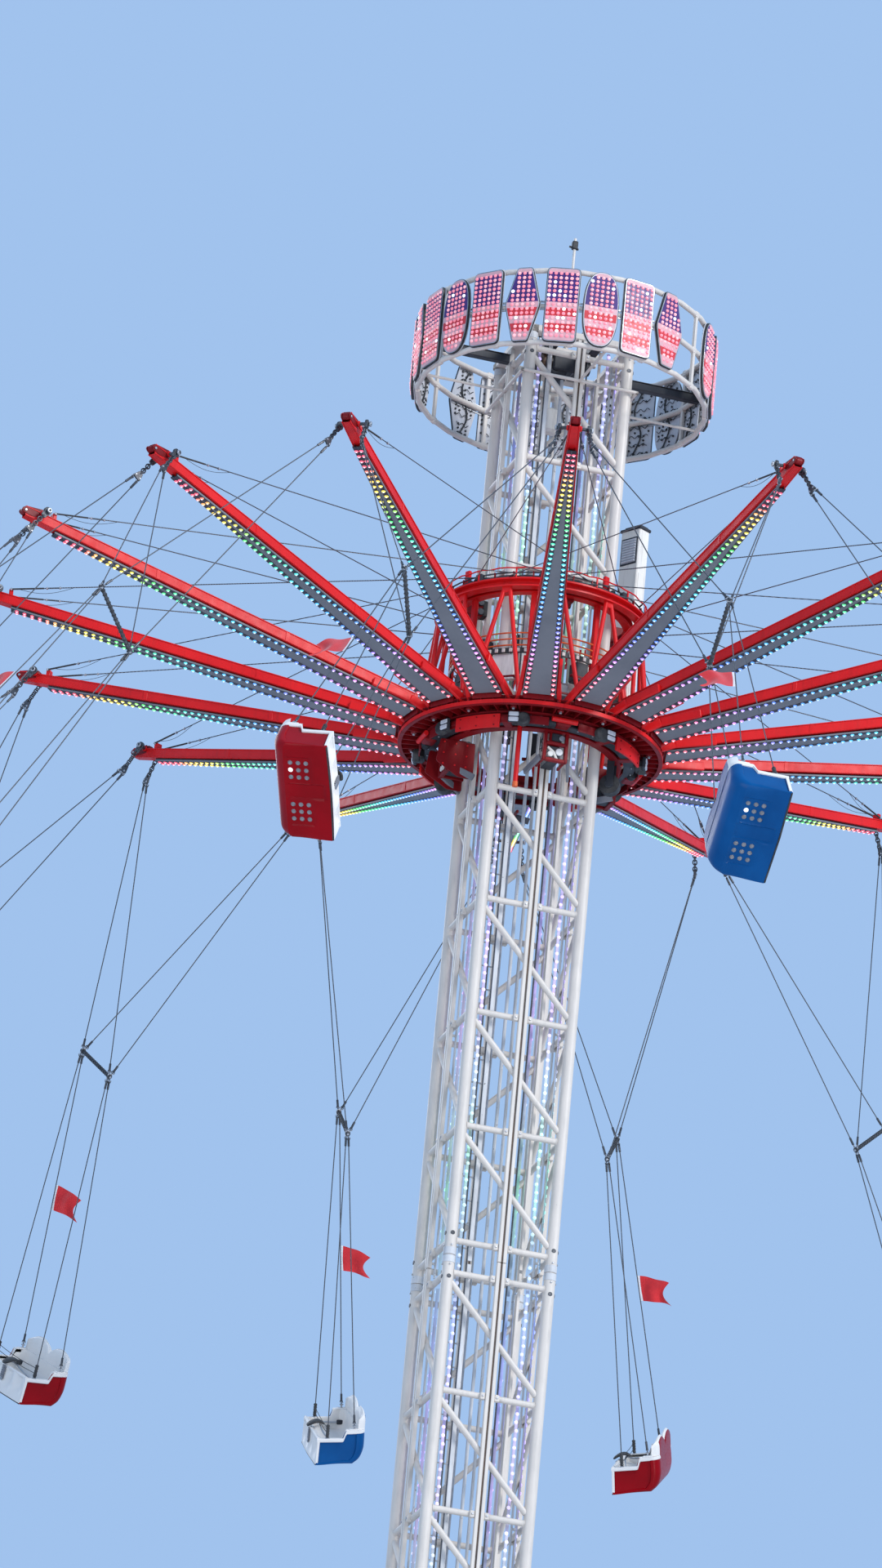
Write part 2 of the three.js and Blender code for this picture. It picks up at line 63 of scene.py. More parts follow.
STAR_LEVEL = 44.4
STAR_TURN = 7.75
ARMS = 16
ARM_STEP = 360 / ARMS
RING_INNER = 1.2
RING_OUTER = 1.62
RING_HEIGHT = 0.12
ARM_ROOT = (1.64, 0.245, 0.42, 0.135)  # distance out, level, width, height
ARM_TIP = (6.86, 1.426, 0.1, 0.125)
PANEL_DROP = 0.045  # from an arm's underside to its lamp panel
PANEL_END = 6.46
LAMP_STEP = 0.096
LAMP_INSET = 0.045
ARM_HUES = (1.65, 6.45)  # distances out between which the lamps' colours run
PIN_OUT = 1.47  # from the axis to the pins between neighbouring arms
HINGE_OUT = 6.66
HINGE_LEVEL = 1.43
UPPER_RING = (1.19, 1.31, 1.68, 0.11)  # inner and outer radius, level, height
STAY_LUG_OUT = 6.48

SWING = 37
SPREADER_DROP = 4.1
SPREADER_HALF = 0.43
CAR_BELOW = 4.434  # the spreader's middle to the underside of the gondola
USUAL_HANG = (35, 6)  # lean and lag of a gondola below its spreader, in degrees
HANGS = {3: (27, 6), 4: (31, 9.7), 5: (29, 9.6), 11: (39, 5.6), 12: (39, 2.4)}
CAR_HALF = 0.58
FRONT_ROPE = (0.55, 0.168, 0.35)
BACK_ROPE = (0.55, -0.184, 0.51)
ROPE_RADIUS = 0.007
STAY_RADIUS = 0.012

# Gondola, in metres from the middle of its underside: Y is forwards, Z is up
HULL_OUTLINE = [
    (0.325, 0.015), (0.3, 0.35), (-0.045, 0.35), (-0.08, 0.465), (-0.33, 0.465), (-0.33, 0.33),
    (-0.32, 0.2), (-0.27, 0.075), (-0.18, 0.0), (0.305, 0.0),
]
ROUNDING = 0.11  # how far in from each side the hull's back and bottom curve
BOTTOM_LIFT = 0.035  # how far the rounding lifts the underside's back corners
BACK_SHIFT = 0.1  # how far the rounding brings the back's ends forwards
FLUTE_DEPTH = 0.046
FRONT_STEPS = 8
BOTTOM_STEPS = 22
HEADREST_LOW = 0.15  # height of the back between and beside the headrests
HEADREST_RISE = 0.13
LAMPS_OUT = 0.255  # from the middle of the underside to the middle of each lamp panel
LAMPS_BACK = -0.02
LAMP_PITCH = 0.088
FLAG_LONG = 0.42
FLAG_TALL = 0.34
FLAG_NOTCH = 0.24  # share of the flag's length
FLAG_DOWN = 0.45  # share of the outer back rope above the flag

CROWN_RADIUS = 1.79
CROWN_LOW = 49.06
CROWN_HIGH = 50.09
CROWN_HOOP = 0.035
SIGN_TURN = 220.7
SIGN_PANELS = 11
PANEL_STEP = 15

# Camera, in real metres, before the turn from the photograph's frame to the model's
CAMERA_TURN = -16.34
CAMERA_AT = (0.0877, -101.816, 3.682)
CAMERA_YAW = -0.011101
CAMERA_PITCH = 0.376338
CAMERA_ROLL = 0.0919593
FOCAL_PIXELS = 11046.5
IMAGE_HEIGHT = 1920
SENSOR = 36

# Studio, in the model's metres: place, target, size and power of each lamp
LAMPS = {
    "key": ((24, -38, 46), (0, 0, 21), 14, 20000),
    "fill": ((-34, -26, 16), (0, 0, 22), 24, 4000),
    "under": ((8, -30, 4), (0, 0, 22), 6, 2000),
    "back": ((-10, 34, 40), (0, 0, 22), 20, 3000),
}
FLOOR_HALF = 60
FLOOR_LEVEL = -0.002
SURROUND = (0.42, 0.64, 1.0, 1)
SURROUND_STRENGTH = 0.85

SHARP_ANGLE = 34  # faces that meet at more than this look creased, in degrees
SIDE_ON = Matrix(((0, 0, 1, 0), (1, 0, 0, 0), (0, 1, 0, 0), (0, 0, 0, 1)))
UPRIGHT = Matrix(((1, 0, 0, 0), (0, 0, -1, 0), (0, 1, 0, 0), (0, 0, 0, 1)))


def turn(angle):
    """A turn about the vertical, in degrees."""
    return Matrix.Rotation(math.radians(angle), 4, "Z")


def tip(angle, axis):
    """A turn about the X or Y axis, in degrees."""
    return Matrix.Rotation(math.radians(angle), 4, axis)


def shift(x, y, z):
    """A move, in real metres."""
    return Matrix.Translation((x, y, z))


def polar(radius, angle, z=0.0):
    """A point at a distance from the axis, at an angle in degrees."""
    return Vector((radius * math.cos(math.radians(angle)), radius * math.sin(math.radians(angle)), z))


def between(a, b, share):
    """What lies at a share of the way from a to b."""
    return a + (b - a) * share


# Mesh building. A box's corner key is its three signs and the axis that its point keeps in full
def box_template():
    """Corner keys and faces of a box with its edges and corners taken off."""
    signs = (-1, 1)
    keys = [(x, y, z, axis) for x in signs for y in signs for z in signs for axis in range(3)]
    index = {key: i for i, key in enumerate(keys)}
    faces = []
    for axis in range(3):
        others = [a for a in range(3) if a != axis]
        for s in signs:
            corners = []
            for t, u in ((-1, -1), (1, -1), (1, 1), (-1, 1)):
                corner = [0, 0, 0]
                corner[axis], corner[others[0]], corner[others[1]] = s, t, u
                corners.append(index[(*corner, axis)])
            faces.append(corners)
    for along in range(3):
        a, b = [axis for axis in range(3) if axis != along]
        for sa in signs:
            for sb in signs:
                corners = []
                for sc, on in ((-1, a), (-1, b), (1, b), (1, a)):
                    corner = [0, 0, 0]
                    corner[a], corner[b], corner[along] = sa, sb, sc
                    corners.append(index[(*corner, on)])
                faces.append(corners)
    for x in signs:
        for y in signs:
            for z in signs:
                faces.append([index[(x, y, z, axis)] for axis in range(3)])
    outward = []
    for face in faces:
        corner_keys = [keys[j] for j in face]
        at = [Vector([key[i] * (1.0 if key[3] == i else 0.8) for i in range(3)]) for key in corner_keys]
        normal = (at[1] - at[0]).cross(at[2] - at[1])
        middle = sum(at, Vector())
        outward.append(face if normal.dot(middle) > 0 else face[::-1])
    return keys, outward


BOX_KEYS, BOX_FACES = box_template()


def inset(outline, distance):
    """A closed outline of (x, y) pairs, anticlockwise, drawn in by a distance."""
    moved = []
    count = len(outline)
    for i in range(count):
        here = Vector(outline[i])
        before = (here - Vector(outline[i - 1])).normalized()
        after = (Vector(outline[(i + 1) % count]) - here).normalized()
        inward = Vector((-before.y, before.x)) + Vector((-after.y, after.x))
        share = max(inward.length_squared / 2, 0.3)
        moved.append(tuple(here + inward * distance / share))
    return moved


def ring_faces(rows, count, closed=False):
    """Faces between rings of points, from each ring to the next, and back to the first if closed."""
    faces = []
    for row in range(rows if closed else rows - 1):
        after = (row + 1) % rows
        for i in range(count):
            j = (i + 1) % count
            faces.append([row * count + i, row * count + j, after * count + j, after * count + i])
    if not closed:
        faces.append(list(range(count))[::-1])
        faces.append([(rows - 1) * count + i for i in range(count)])
    return faces


class Shape:
    """The points and faces of one piece, in real metres, with a finish for each face."""

    def __init__(self):
        self.points = []
        self.faces = []
        self.finishes = []
        self.place = Matrix.Identity(4)

    def add(self, points, faces, finish):
        first = len(self.points)
        self.points.extend(self.place @ Vector(point) for point in points)
        self.faces.extend([first + i for i in face] for face in faces)
        self.finishes.extend([finish] * len(faces))

    def box(self, low, high, finish, edge=0.006):
        """A box between two corners, with its edges taken off."""
        middle = (Vector(low) + Vector(high)) / 2
        half = (Vector(high) - Vector(low)) / 2
        edge = min(edge, min(half) * 0.45)
        points = []
        for key in BOX_KEYS:
            offset = [key[i] * (half[i] if key[3] == i else half[i] - edge) for i in range(3)]
            points.append(middle + Vector(offset))
        self.add(points, BOX_FACES, finish)

    def beam(self, start, end, width, height, finish, edge=0.006, up=(0, 0, 1)):
        """A square-edged bar from one point to another."""
        start, end = Vector(start), Vector(end)
        along = (end - start).normalized()
        side = Vector(up).cross(along)
        side = side.normalized() if side.length > 1e-6 else along.orthogonal().normalized()
        over = along.cross(side)
        frame_turn = Matrix((along, side, over)).transposed().to_4x4()
        before = self.place
        self.place = before @ Matrix.Translation(start) @ frame_turn
        length = (end - start).length
        self.box((0, -width / 2, -height / 2), (length, width / 2, height / 2), finish, edge)
        self.place = before

    def tube(self, path, radius, finish, sides=10, closed=False):
        """A round bar along a path. The radius is one number, or one for each point."""
        path = [Vector(point) for point in path]
        count = len(path)
        radii = radius if isinstance(radius, (list, tuple)) else [radius] * count
        points = []
        side = None
        for i, at in enumerate(path):
            before = path[i - 1] if closed or i else path[0]
            after = path[(i + 1) % count] if closed or i < count - 1 else path[-1]
            along = (after - before).normalized()
            side = along.orthogonal() if side is None else side - along * side.dot(along)
            side = side.normalized()
            over = along.cross(side)
            for k in range(sides):
                angle = 2 * math.pi * k / sides
                points.append(at + (side * math.cos(angle) + over * math.sin(angle)) * radii[i])
        self.add(points, ring_faces(count, sides, closed), finish)

    def disc(self, centre, axis, radius, half, finish, sides=16, edge=0.006):
        """A wheel, boss or bolt head: a short round bar with its rims taken off."""
        centre, axis = Vector(centre), Vector(axis).normalized()
        edge = min(edge, half * 0.8, radius * 0.4)
        levels = (-half, -half + edge, half - edge, half)
        path = [centre + axis * level for level in levels]
        self.tube(path, [radius - edge, radius, radius, radius - edge], finish, sides)

    def lathe(self, profile, finish, segments, start=0.0, end=360.0):
        """A closed outline of (distance out, level), anticlockwise, turned about the axis."""
        whole = abs(end - start - 360) < 1e-6
        rows = segments if whole else segments + 1
        count = len(profile)
        points = []
        for row in range(rows):
            angle = start + (end - start) * row / segments
            points.extend(polar(r, angle, z) for r, z in profile)
        faces = []
        for row in range(segments):
            following = (row + 1) % rows
            for i in range(count):
                j = (i + 1) % count
                faces.append([row * count + i, following * count + i, following * count + j,
                              row * count + j])
        if not whole:
            faces.append(list(range(count)))
            faces.append([(rows - 1) * count + i for i in range(count)][::-1])
        self.add(points, faces, finish)

    def prism(self, outline, low, high, finish, edge=0.004):
        """An outline of (x, y) pairs, anticlockwise, drawn up from low to high, its rims taken off."""
        small = inset(outline, edge)
        rings = [(small, low), (outline, low + edge), (outline, high - edge), (small, high)]
        points = [(x, y, z) for ring, z in rings for x, y in ring]
        self.add(points, ring_faces(len(rings), len(outline)), finish)

    def grid(self, rows, finish, flip=False, closed=False):
        """A skin over rows of points, each row as long as the next. A finish may be a function of
        the row and the column."""
        columns = len(rows[0])
        points = [point for row in rows for point in row]
        wide = columns if closed else columns - 1
        for i in range(len(rows) - 1):
            for j in range(wide):
                k = (j + 1) % columns
                face = [i * columns + j, i * columns + k, (i + 1) * columns + k, (i + 1) * columns + j]
                chosen = finish(i, j) if callable(finish) else finish
                if i == 0 and j == 0:
                    self.add(points, [face[::-1] if flip else face], chosen)
                    first = len(self.points) - len(points)
                else:
                    self.faces.append([first + n for n in (face[::-1] if flip else face)])
                    self.finishes.append(chosen)

    def dome(self, at, normal, radius, height, finish, sides=8):
        """A low lamp cap standing on a surface."""
        at, normal = Vector(at), Vector(normal).normalized()
        side = normal.orthogonal().normalized()
        over = normal.cross(side)
        points = []
        for share, level in ((1.0, 0.0), (0.72, 0.7)):
            for k in range(sides):
                angle = 2 * math.pi * k / sides
                offset = (side * math.cos(angle) + over * math.sin(angle)) * radius * share
                points.append(at + offset + normal * height * level)
        points.append(at + normal * height)
        faces = []
        for k in range(sides):
            m = (k + 1) % sides
            faces.append([k, m, sides + m, sides + k])
            faces.append([sides + k, sides + m, 2 * sides])
        self.add(points, faces, finish)

    def mesh(self, name):
        """The finished mesh, at the model's scale."""
        made = bpy.data.meshes.new(name)
        made.from_pydata([point * MODEL_SCALE for point in self.points], [], self.faces)
        names = sorted(set(self.finishes))
        for finish in names:
            made.materials.append(MATERIALS[finish])
        made.polygons.foreach_set("material_index", [names.index(finish) for finish in self.finishes])
        made.polygons.foreach_set("use_smooth", [True] * len(self.faces))
        made.set_sharp_from_angle(angle=math.radians(SHARP_ANGLE))
        made.update()
        return made


def piece(name, mesh, body, replaces=(), place=None):
    """One shown object, riding on a body, standing for the CAD nodes it replaces."""
    made = bpy.data.objects.new(name, mesh)
    bpy.context.scene.collection.objects.link(made)
    if place is not None:
        position, rotation, _ = place.decompose()
        made.matrix_world = Matrix.Translation(position * MODEL_SCALE) @ rotation.to_matrix().to_4x4()
    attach(made, body)
    if replaces:
        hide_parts(*replaces)
    return made


# Materials
class Graph:
    """The nodes of one material. A noise or a wave is measured in the model's metres."""

    def __init__(self, name):
        self.material = bpy.data.materials.new(name)
        self.material.use_nodes = True
        self.tree = self.material.node_tree
        self.shader = self.tree.nodes["Principled BSDF"]
        self.object_point = self.node("ShaderNodeTexCoord").outputs["Object"]

    def node(self, kind, **settings):
        made = self.tree.nodes.new(kind)
        for key, value in settings.items():
            setattr(made, key, value)
        return made

    def link(self, output, target):
        self.tree.links.new(output, target)

    def surface(self, **values):
        for key, value in values.items():
            self.shader.inputs[key.replace("_", " ")].default_value = value

    def stretched(self, x, y, z):
        made = self.node("ShaderNodeMapping")
        made.inputs["Scale"].default_value = (x, y, z)
        self.link(self.object_point, made.inputs["Vector"])
        return made.outputs["Vector"]

    def height(self, low, high):
        """How far up between two real levels, 0 to 1."""
        split = self.node("ShaderNodeSeparateXYZ")
        self.link(self.object_point, split.inputs[0])
        span = self.node("ShaderNodeMapRange")
        span.inputs["From Min"].default_value = low * MODEL_SCALE
        span.inputs["From Max"].default_value = high * MODEL_SCALE
        self.link(split.outputs["Z"], span.inputs["Value"])
        return span.outputs["Result"]

    def noise(self, scale, detail=4.0, rough=0.55, vector=None):
        made = self.node("ShaderNodeTexNoise")
        made.inputs["Scale"].default_value = scale
        made.inputs["Detail"].default_value = detail
        made.inputs["Roughness"].default_value = rough
        self.link(vector or self.object_point, made.inputs["Vector"])
        return made.outputs["Fac"]

    def bands(self, scale, direction="DIAGONAL", distortion=0.0, vector=None):
        made = self.node("ShaderNodeTexWave", wave_type="BANDS", bands_direction=direction)
        made.inputs["Scale"].default_value = scale
        made.inputs["Distortion"].default_value = distortion
        self.link(vector or self.object_point, made.inputs["Vector"])
        return made.outputs["Fac"]

    def ramp(self, value, stops, interpolation="LINEAR"):
        made = self.node("ShaderNodeValToRGB")
        made.color_ramp.interpolation = interpolation
        elements = made.color_ramp.elements
        while len(elements) < len(stops):
            elements.new(0.5)
        for element, (position, colour) in zip(elements, stops):
            element.position = position
            shade = colour if isinstance(colour, tuple) else (colour, colour, colour)
            element.color = (*shade, 1)
        self.link(value, made.inputs["Fac"])
        return made.outputs["Color"]

    def mix(self, share, a, b, blend="MIX"):
        made = self.node("ShaderNodeMix", data_type="RGBA", blend_type=blend)
        for value, target in ((share, made.inputs[0]), (a, made.inputs[6]), (b, made.inputs[7])):
            if isinstance(value, (int, float)):
                target.default_value = value
            elif isinstance(value, tuple):
                target.default_value = (*value, 1)
            else:
                self.link(value, target)
        return made.outputs[2]

    def bump(self, height, strength, distance=0.001):
        made = self.node("ShaderNodeBump")
        made.inputs["Strength"].default_value = strength
        made.inputs["Distance"].default_value = distance
        self.link(height, made.inputs["Height"])
        self.link(made.outputs["Normal"], self.shader.inputs["Normal"])

    def colour(self, output):
        self.link(output, self.shader.inputs["Base Color"])

    def roughness(self, output):
        self.link(output, self.shader.inputs["Roughness"])


def painted(name, light, deep, grime, gloss, speck=0.66, streak=1.0):
    """Painted steel: soft colour drift, streaks run down by rain, chips and dirt specks."""
    g = Graph(name)
    drift = g.ramp(g.noise(3.0, 5.0), [(0.3, deep), (0.7, light)])
    run = g.ramp(g.noise(7.0, 6.0, 0.6, g.stretched(6, 6, 0.7)), [(0.5, 0.0), (0.82, 0.55 * streak)])
    weathered = g.mix(run, drift, grime)
    chips = g.ramp(g.noise(42.0, 8.0, 0.72), [(speck, 0.0), (speck + 0.05, 1.0)])
    g.colour(g.mix(chips, weathered, tuple(c * 0.35 for c in grime)))
    g.roughness(g.ramp(g.noise(14.0, 6.0), [(0.3, gloss), (0.75, gloss + 0.2)]))
    g.bump(g.noise(120.0, 3.0), 0.12, 0.0006)
    g.surface(Coat_Weight=0.06, Coat_Roughness=0.25, Specular_IOR_Level=0.22)
    return g.material


def metal(name, light, deep, gloss, metallic=0.85):
    """Bare or galvanised steel: mottled, with fine scratches and dull patches."""
    g = Graph(name)
    mottled = g.ramp(g.noise(22.0, 6.0, 0.65), [(0.3, deep), (0.7, light)])
    dull = g.ramp(g.noise(5.0, 4.0), [(0.45, 0.0), (0.8, 0.5)])
    g.colour(g.mix(dull, mottled, tuple(c * 0.45 for c in deep)))
    g.roughness(g.ramp(g.noise(35.0, 7.0), [(0.25, gloss), (0.8, gloss + 0.3)]))
    g.bump(g.noise(180.0, 4.0), 0.25, 0.0005)
    g.surface(Metallic=metallic)
    return g.material


def rope_steel():
    """Wire rope: dark strands laid round each other, with grease between them."""
    g = Graph("rope_steel")
    strands = g.bands(95.0, "DIAGONAL", 0.6)
    g.colour(g.ramp(strands, [(0.2, (0.03, 0.03, 0.034)), (0.8, (0.2, 0.205, 0.215))]))
    g.roughness(g.ramp(g.noise(30.0, 4.0), [(0.3, 0.35), (0.75, 0.6)]))
    g.bump(strands, 0.6, 0.001)
    g.surface(Metallic=0.7)
    return g.material


def rubber(name="black_rubber", shade=0.018):
    """Black rubber or cable sheath: nearly flat, dusty on top of its grain."""
    g = Graph(name)
    dust = g.ramp(g.noise(26.0, 6.0), [(0.35, (shade, shade, shade * 1.05)), (0.85, (0.07, 0.068, 0.065))])
    g.colour(dust)
    g.roughness(g.ramp(g.noise(60.0, 5.0), [(0.3, 0.5), (0.8, 0.78)]))
    g.bump(g.noise(260.0, 4.0), 0.3, 0.0006)
    return g.material


def gelcoat(name, light, deep, gloss=0.3):
    """Glass fibre with a gloss gelcoat: clear colour, fine scratches and handling marks."""
    g = Graph(name)
    drift = g.ramp(g.noise(4.0, 3.0), [(0.25, deep), (0.75, light)])
    scratches = g.noise(9.0, 8.0, 0.75, g.stretched(2, 9, 14))
    worn = g.ramp(scratches, [(0.68, 0.0), (0.76, 0.2)])
    g.colour(g.mix(worn, drift, tuple(min(1.0, c * 0.7 + 0.06) for c in light)))
    g.roughness(g.ramp(scratches, [(0.4, gloss), (0.8, gloss + 0.2)]))
    g.bump(g.noise(16.0, 2.0), 0.05, 0.002)
    g.surface(Coat_Weight=0.1, Coat_Roughness=0.12, Specular_IOR_Level=0.07)
    return g.material


def arm_lights(name, pale, strength):
    """Lamps of the arms: their colour runs through the rainbow from root to tip, more or less pale."""
    g = Graph(name)
    flat = g.node("ShaderNodeVectorMath", operation="MULTIPLY")
    flat.inputs[1].default_value = (1, 1, 0)
    g.link(g.object_point, flat.inputs[0])
    length = g.node("ShaderNodeVectorMath", operation="LENGTH")
    g.link(flat.outputs["Vector"], length.inputs[0])
    span = g.node("ShaderNodeMapRange")
    span.inputs["From Min"].default_value = ARM_HUES[0] * MODEL_SCALE
    span.inputs["From Max"].default_value = ARM_HUES[1] * MODEL_SCALE
    g.link(length.outputs["Value"], span.inputs["Value"])
    stops = [
        (0.0, (0.95, 0.1, 0.13)), (0.09, (0.95, 0.14, 0.24)), (0.17, (0.8, 0.26, 0.85)),
        (0.24, (0.3, 0.2, 0.9)),
        (0.31, (0.05, 0.2, 0.85)), (0.44, (0.03, 0.42, 0.85)), (0.54, (0.03, 0.62, 0.72)),
        (0.63, (0.02, 0.7, 0.36)),
        (0.73, (0.05, 0.75, 0.1)), (0.79, (0.9, 0.74, 0.03)), (0.87, (0.95, 0.6, 0.03)),
        (0.92, (0.85, 0.05, 0.1)),
        (1.0, (0.85, 0.04, 0.12)),
    ]
    hue = g.ramp(span.outputs["Result"], stops)
    flicker = g.ramp(g.noise(90.0, 2.0), [(0.35, 0.8), (0.65, 1.0)])
    lit = g.mix(pale, g.mix(1.0, hue, flicker, "MULTIPLY"), (1.0, 0.98, 1.0))
    g.colour(lit)
    g.link(lit, g.shader.inputs["Emission Color"])
    g.surface(Emission_Strength=strength, Roughness=0.25)
    return g.material


def mast_lights(name, pale, strength):
    """Lamp strips of the mast: green, pink and blue stretches up the tower, then violet by the crown. With a
    faint strength it also gives the strips behind the lamps a painted glow.
    """
    g = Graph(name)
    green, pink, violet, blue = (0.03, 0.7, 0.22), (0.6, 0.25, 0.85), (0.36, 0.2, 0.8), (0.08, 0.2, 0.85)
    stretches = [(3 + 2 * i, (green, pink, blue)[i % 3]) for i in range(20)]
    stretches += [(42.5, violet), (44.3, violet), (45, green), (47.2, green), (48, violet), (48.6, blue),
                  (49.2, violet)]
    hue = g.ramp(g.height(0, LIGHTS_TOP), [(z / LIGHTS_TOP, colour) for z, colour in stretches])
    lit = g.ramp(g.noise(5.0, 3.0), [(0.38, 0.3), (0.62, 1.0)])
    shade = g.mix(pale, g.mix(1.0, hue, lit, "MULTIPLY"), (0.9, 0.9, 1.0))
    g.colour(g.mix(0.3, shade, (0.7, 0.7, 0.78)))
    g.link(shade, g.shader.inputs["Emission Color"])
    g.surface(Emission_Strength=strength, Roughness=0.3)
    return g.material


def cloth(name, deep, light):
    """Plain flag cloth: a fine square weave with a soft drift of colour."""
    g = Graph(name)
    weave = g.mix(0.5, g.bands(420.0, "Y"), g.bands(420.0, "Z"))
    g.colour(g.ramp(g.noise(9.0, 3.0), [(0.3, deep), (0.75, light)]))
    g.bump(weave, 0.3, 0.0004)
    g.surface(Roughness=0.85, Sheen_Weight=0.3)
    return g.material


def bulb(name, colour, strength):
    """A round lamp cap: its colour glows unevenly from cap to cap."""
    g = Graph(name)
    uneven = g.ramp(g.noise(55.0, 3.0), [(0.35, tuple(c * 0.72 for c in colour)), (0.65, colour)])
    g.colour(uneven)
    g.link(uneven, g.shader.inputs["Emission Color"])
    g.surface(Emission_Strength=strength, Roughness=0.25)
    return g.material


def greasy_slot():
    """The rails' slot: dark steel under brown grease and rust."""
    g = Graph("greasy_slot")
    grease = g.noise(12.0, 7.0, 0.6, g.stretched(1, 1, 0.35))
    g.colour(g.ramp(grease,
                    [(0.35, (0.012, 0.009, 0.008)), (0.55, (0.07, 0.035, 0.018)), (0.8, (0.2, 0.11, 0.06))]))
    g.roughness(g.ramp(grease, [(0.3, 0.25), (0.8, 0.75)]))
    g.bump(grease, 0.5, 0.002)
    return g.material


def floor_material():
    g = Graph("studio_floor")
    g.colour(g.ramp(g.noise(0.3, 3.0), [(0.3, (0.6, 0.6, 0.61)), (0.7, (0.64, 0.64, 0.65))]))
    g.surface(Roughness=0.7)
    return g.material


def sign_face():
    """The panels' face: navy above the middle, pale pink with two red bands below it."""
    g = Graph("sign_face")
    height = g.height(CROWN_LOW + 0.02, CROWN_HIGH - 0.02)
    pale, red, navy = (0.72, 0.4, 0.42), (0.62, 0.03, 0.04), (0.05, 0.016, 0.16)
    bands = [(0.0, pale), (0.13, red), (0.24, pale), (0.34, red), (0.45, pale), (0.53, navy), (0.93, pale)]
    drift = g.ramp(g.noise(9.0, 3.0), [(0.3, 0.8), (0.7, 1.0)])
    g.colour(g.mix(1.0, g.ramp(height, bands, "CONSTANT"), drift, "MULTIPLY"))
    g.roughness(g.ramp(g.noise(30.0, 5.0), [(0.3, 0.35), (0.8, 0.6)]))
    g.bump(g.noise(60.0, 3.0), 0.1, 0.001)
    return g.material


MATERIALS = {
    "white": painted("white_paint", (0.7, 0.63, 0.555), (0.605, 0.55, 0.49), (0.4, 0.37, 0.34), 0.3, 0.69,
                     0.8),
    "white_grubby": painted("white_paint_grubby", (0.66, 0.66, 0.66), (0.5, 0.5, 0.5), (0.2, 0.17, 0.14),
                            0.4, 0.62),
    "red": painted("red_paint", (0.74, 0.012, 0.012), (0.6, 0.007, 0.009), (0.3, 0.015, 0.012), 0.36, 0.7,
                   0.7),
    # A darker copy of the red paint: painted shade for red parts under, inside and between other parts.
    "red_dark": painted("red_paint_shaded", (0.26, 0.003, 0.006), (0.16, 0.002, 0.004),
                        (0.07, 0.005, 0.005), 0.42, 0.68),
    "orange": painted("orange_paint", (0.8, 0.16, 0.04), (0.65, 0.1, 0.03), (0.2, 0.06, 0.03), 0.35),
    "panel_grey": painted("arm_underside", (0.2, 0.2, 0.215), (0.155, 0.155, 0.17), (0.24, 0.23, 0.23),
                          0.45, 0.74, 0.4),
    "lamp_strip": painted("lamp_strip", (0.06, 0.055, 0.075), (0.03, 0.028, 0.04), (0.02, 0.02, 0.02),
                          0.45, 0.7),
    "cabinet": painted("cabinet_paint", (0.84, 0.8, 0.72), (0.76, 0.72, 0.65), (0.4, 0.36, 0.3), 0.35),
    "dark_paint": painted("dark_paint", (0.045, 0.048, 0.056), (0.022, 0.024, 0.03), (0.08, 0.07, 0.06),
                          0.4, 0.66),
    "galvanised": metal("galvanised_steel", (0.55, 0.56, 0.58), (0.36, 0.37, 0.39), 0.32),
    "steel": metal("dark_steel", (0.14, 0.145, 0.155), (0.06, 0.063, 0.07), 0.38),
    "rope": rope_steel(),
    "rubber": rubber("black_rubber", 0.018),
    "cable": rubber("cable_sheath", 0.012),
    "slot": greasy_slot(),
    "shell_white": gelcoat("white_gelcoat", (0.82, 0.78, 0.73), (0.75, 0.72, 0.68), 0.4),
    "shell_red": gelcoat("red_gelcoat", (0.33, 0.001, 0.006), (0.22, 0.001, 0.004)),
    "shell_blue": gelcoat("blue_gelcoat", (0.002, 0.085, 0.27), (0.001, 0.055, 0.19)),
    "panel_face": sign_face(),
    "panel_back": painted("panel_backs", (0.62, 0.62, 0.64), (0.5, 0.5, 0.52), (0.3, 0.28, 0.27), 0.45),
    "arm_light": arm_lights("arm_lights", 0.08, 0.9),
    "arm_glow": arm_lights("arm_lamp_middles", 0.62, 1.0),
    "mast_light": mast_lights("mast_lights", 0.35, 1.1),
    # The strips behind the mast lamps: painted glow, the lamps' colours with a faint emission.
    "lamp_back": mast_lights("mast_strips_painted_glow", 0.25, 0.05),
    "bulb_pink": bulb("bulb_pink", (1.0, 0.3, 0.36), 0.42),
    "bulb_pale": bulb("bulb_pale", (1.0, 0.46, 0.48), 0.45),
    "bulb_white": bulb("bulb_white", (1.0, 0.97, 0.97), 0.9),
    "bulb_off": bulb("bulb_unlit", (0.26, 0.25, 0.26), 0.0),
    "flag": cloth("flag_cloth", (0.5, 0.008, 0.014), (0.72, 0.02, 0.025)),
    "flag_hem": cloth("flag_hem", (0.62, 0.6, 0.6), (0.8, 0.78, 0.78)),
}


# Mast
def rung_levels():
    """Levels of the rungs in one mast section."""
    return [SECTION_END + BAY * bay for bay in range(BAYS + 1)]


def mast_leg(shape):
    """One corner tube with its end flanges, joint seam, pin holes and pins."""
    at = (-LEG_AT, -LEG_AT)
    shape.tube([(*at, 0.002), (*at, SECTION - 0.003)], LEG_RADIUS, "white", 24)
    for z, half in ((0.05, 0.045), (SECTION - 0.05, 0.045)):
        shape.disc((*at, z), (0, 0, 1), LEG_RADIUS + 0.006, half, "white_grubby", 24, 0.004)
    for z in (SECTION_END + 0.07, SECTION - SECTION_END - 0.07):
        for direction in ((0, -1, 0), (-1, 0, 0)):
            near = Vector((*at, z)) + Vector(direction) * (LEG_RADIUS - 0.003)
            shape.disc(near, direction, 0.027, 0.006, "steel", 12, 0.002)
    for z in (SECTION - 0.12, 0.12):
        for direction in ((0, -1, 0), (-1, 0, 0)):
            near = Vector((*at, z)) + Vector(direction) * (LEG_RADIUS + 0.006)
            shape.disc(near, direction, 0.013, 0.007, "galvanised", 6, 0.003)


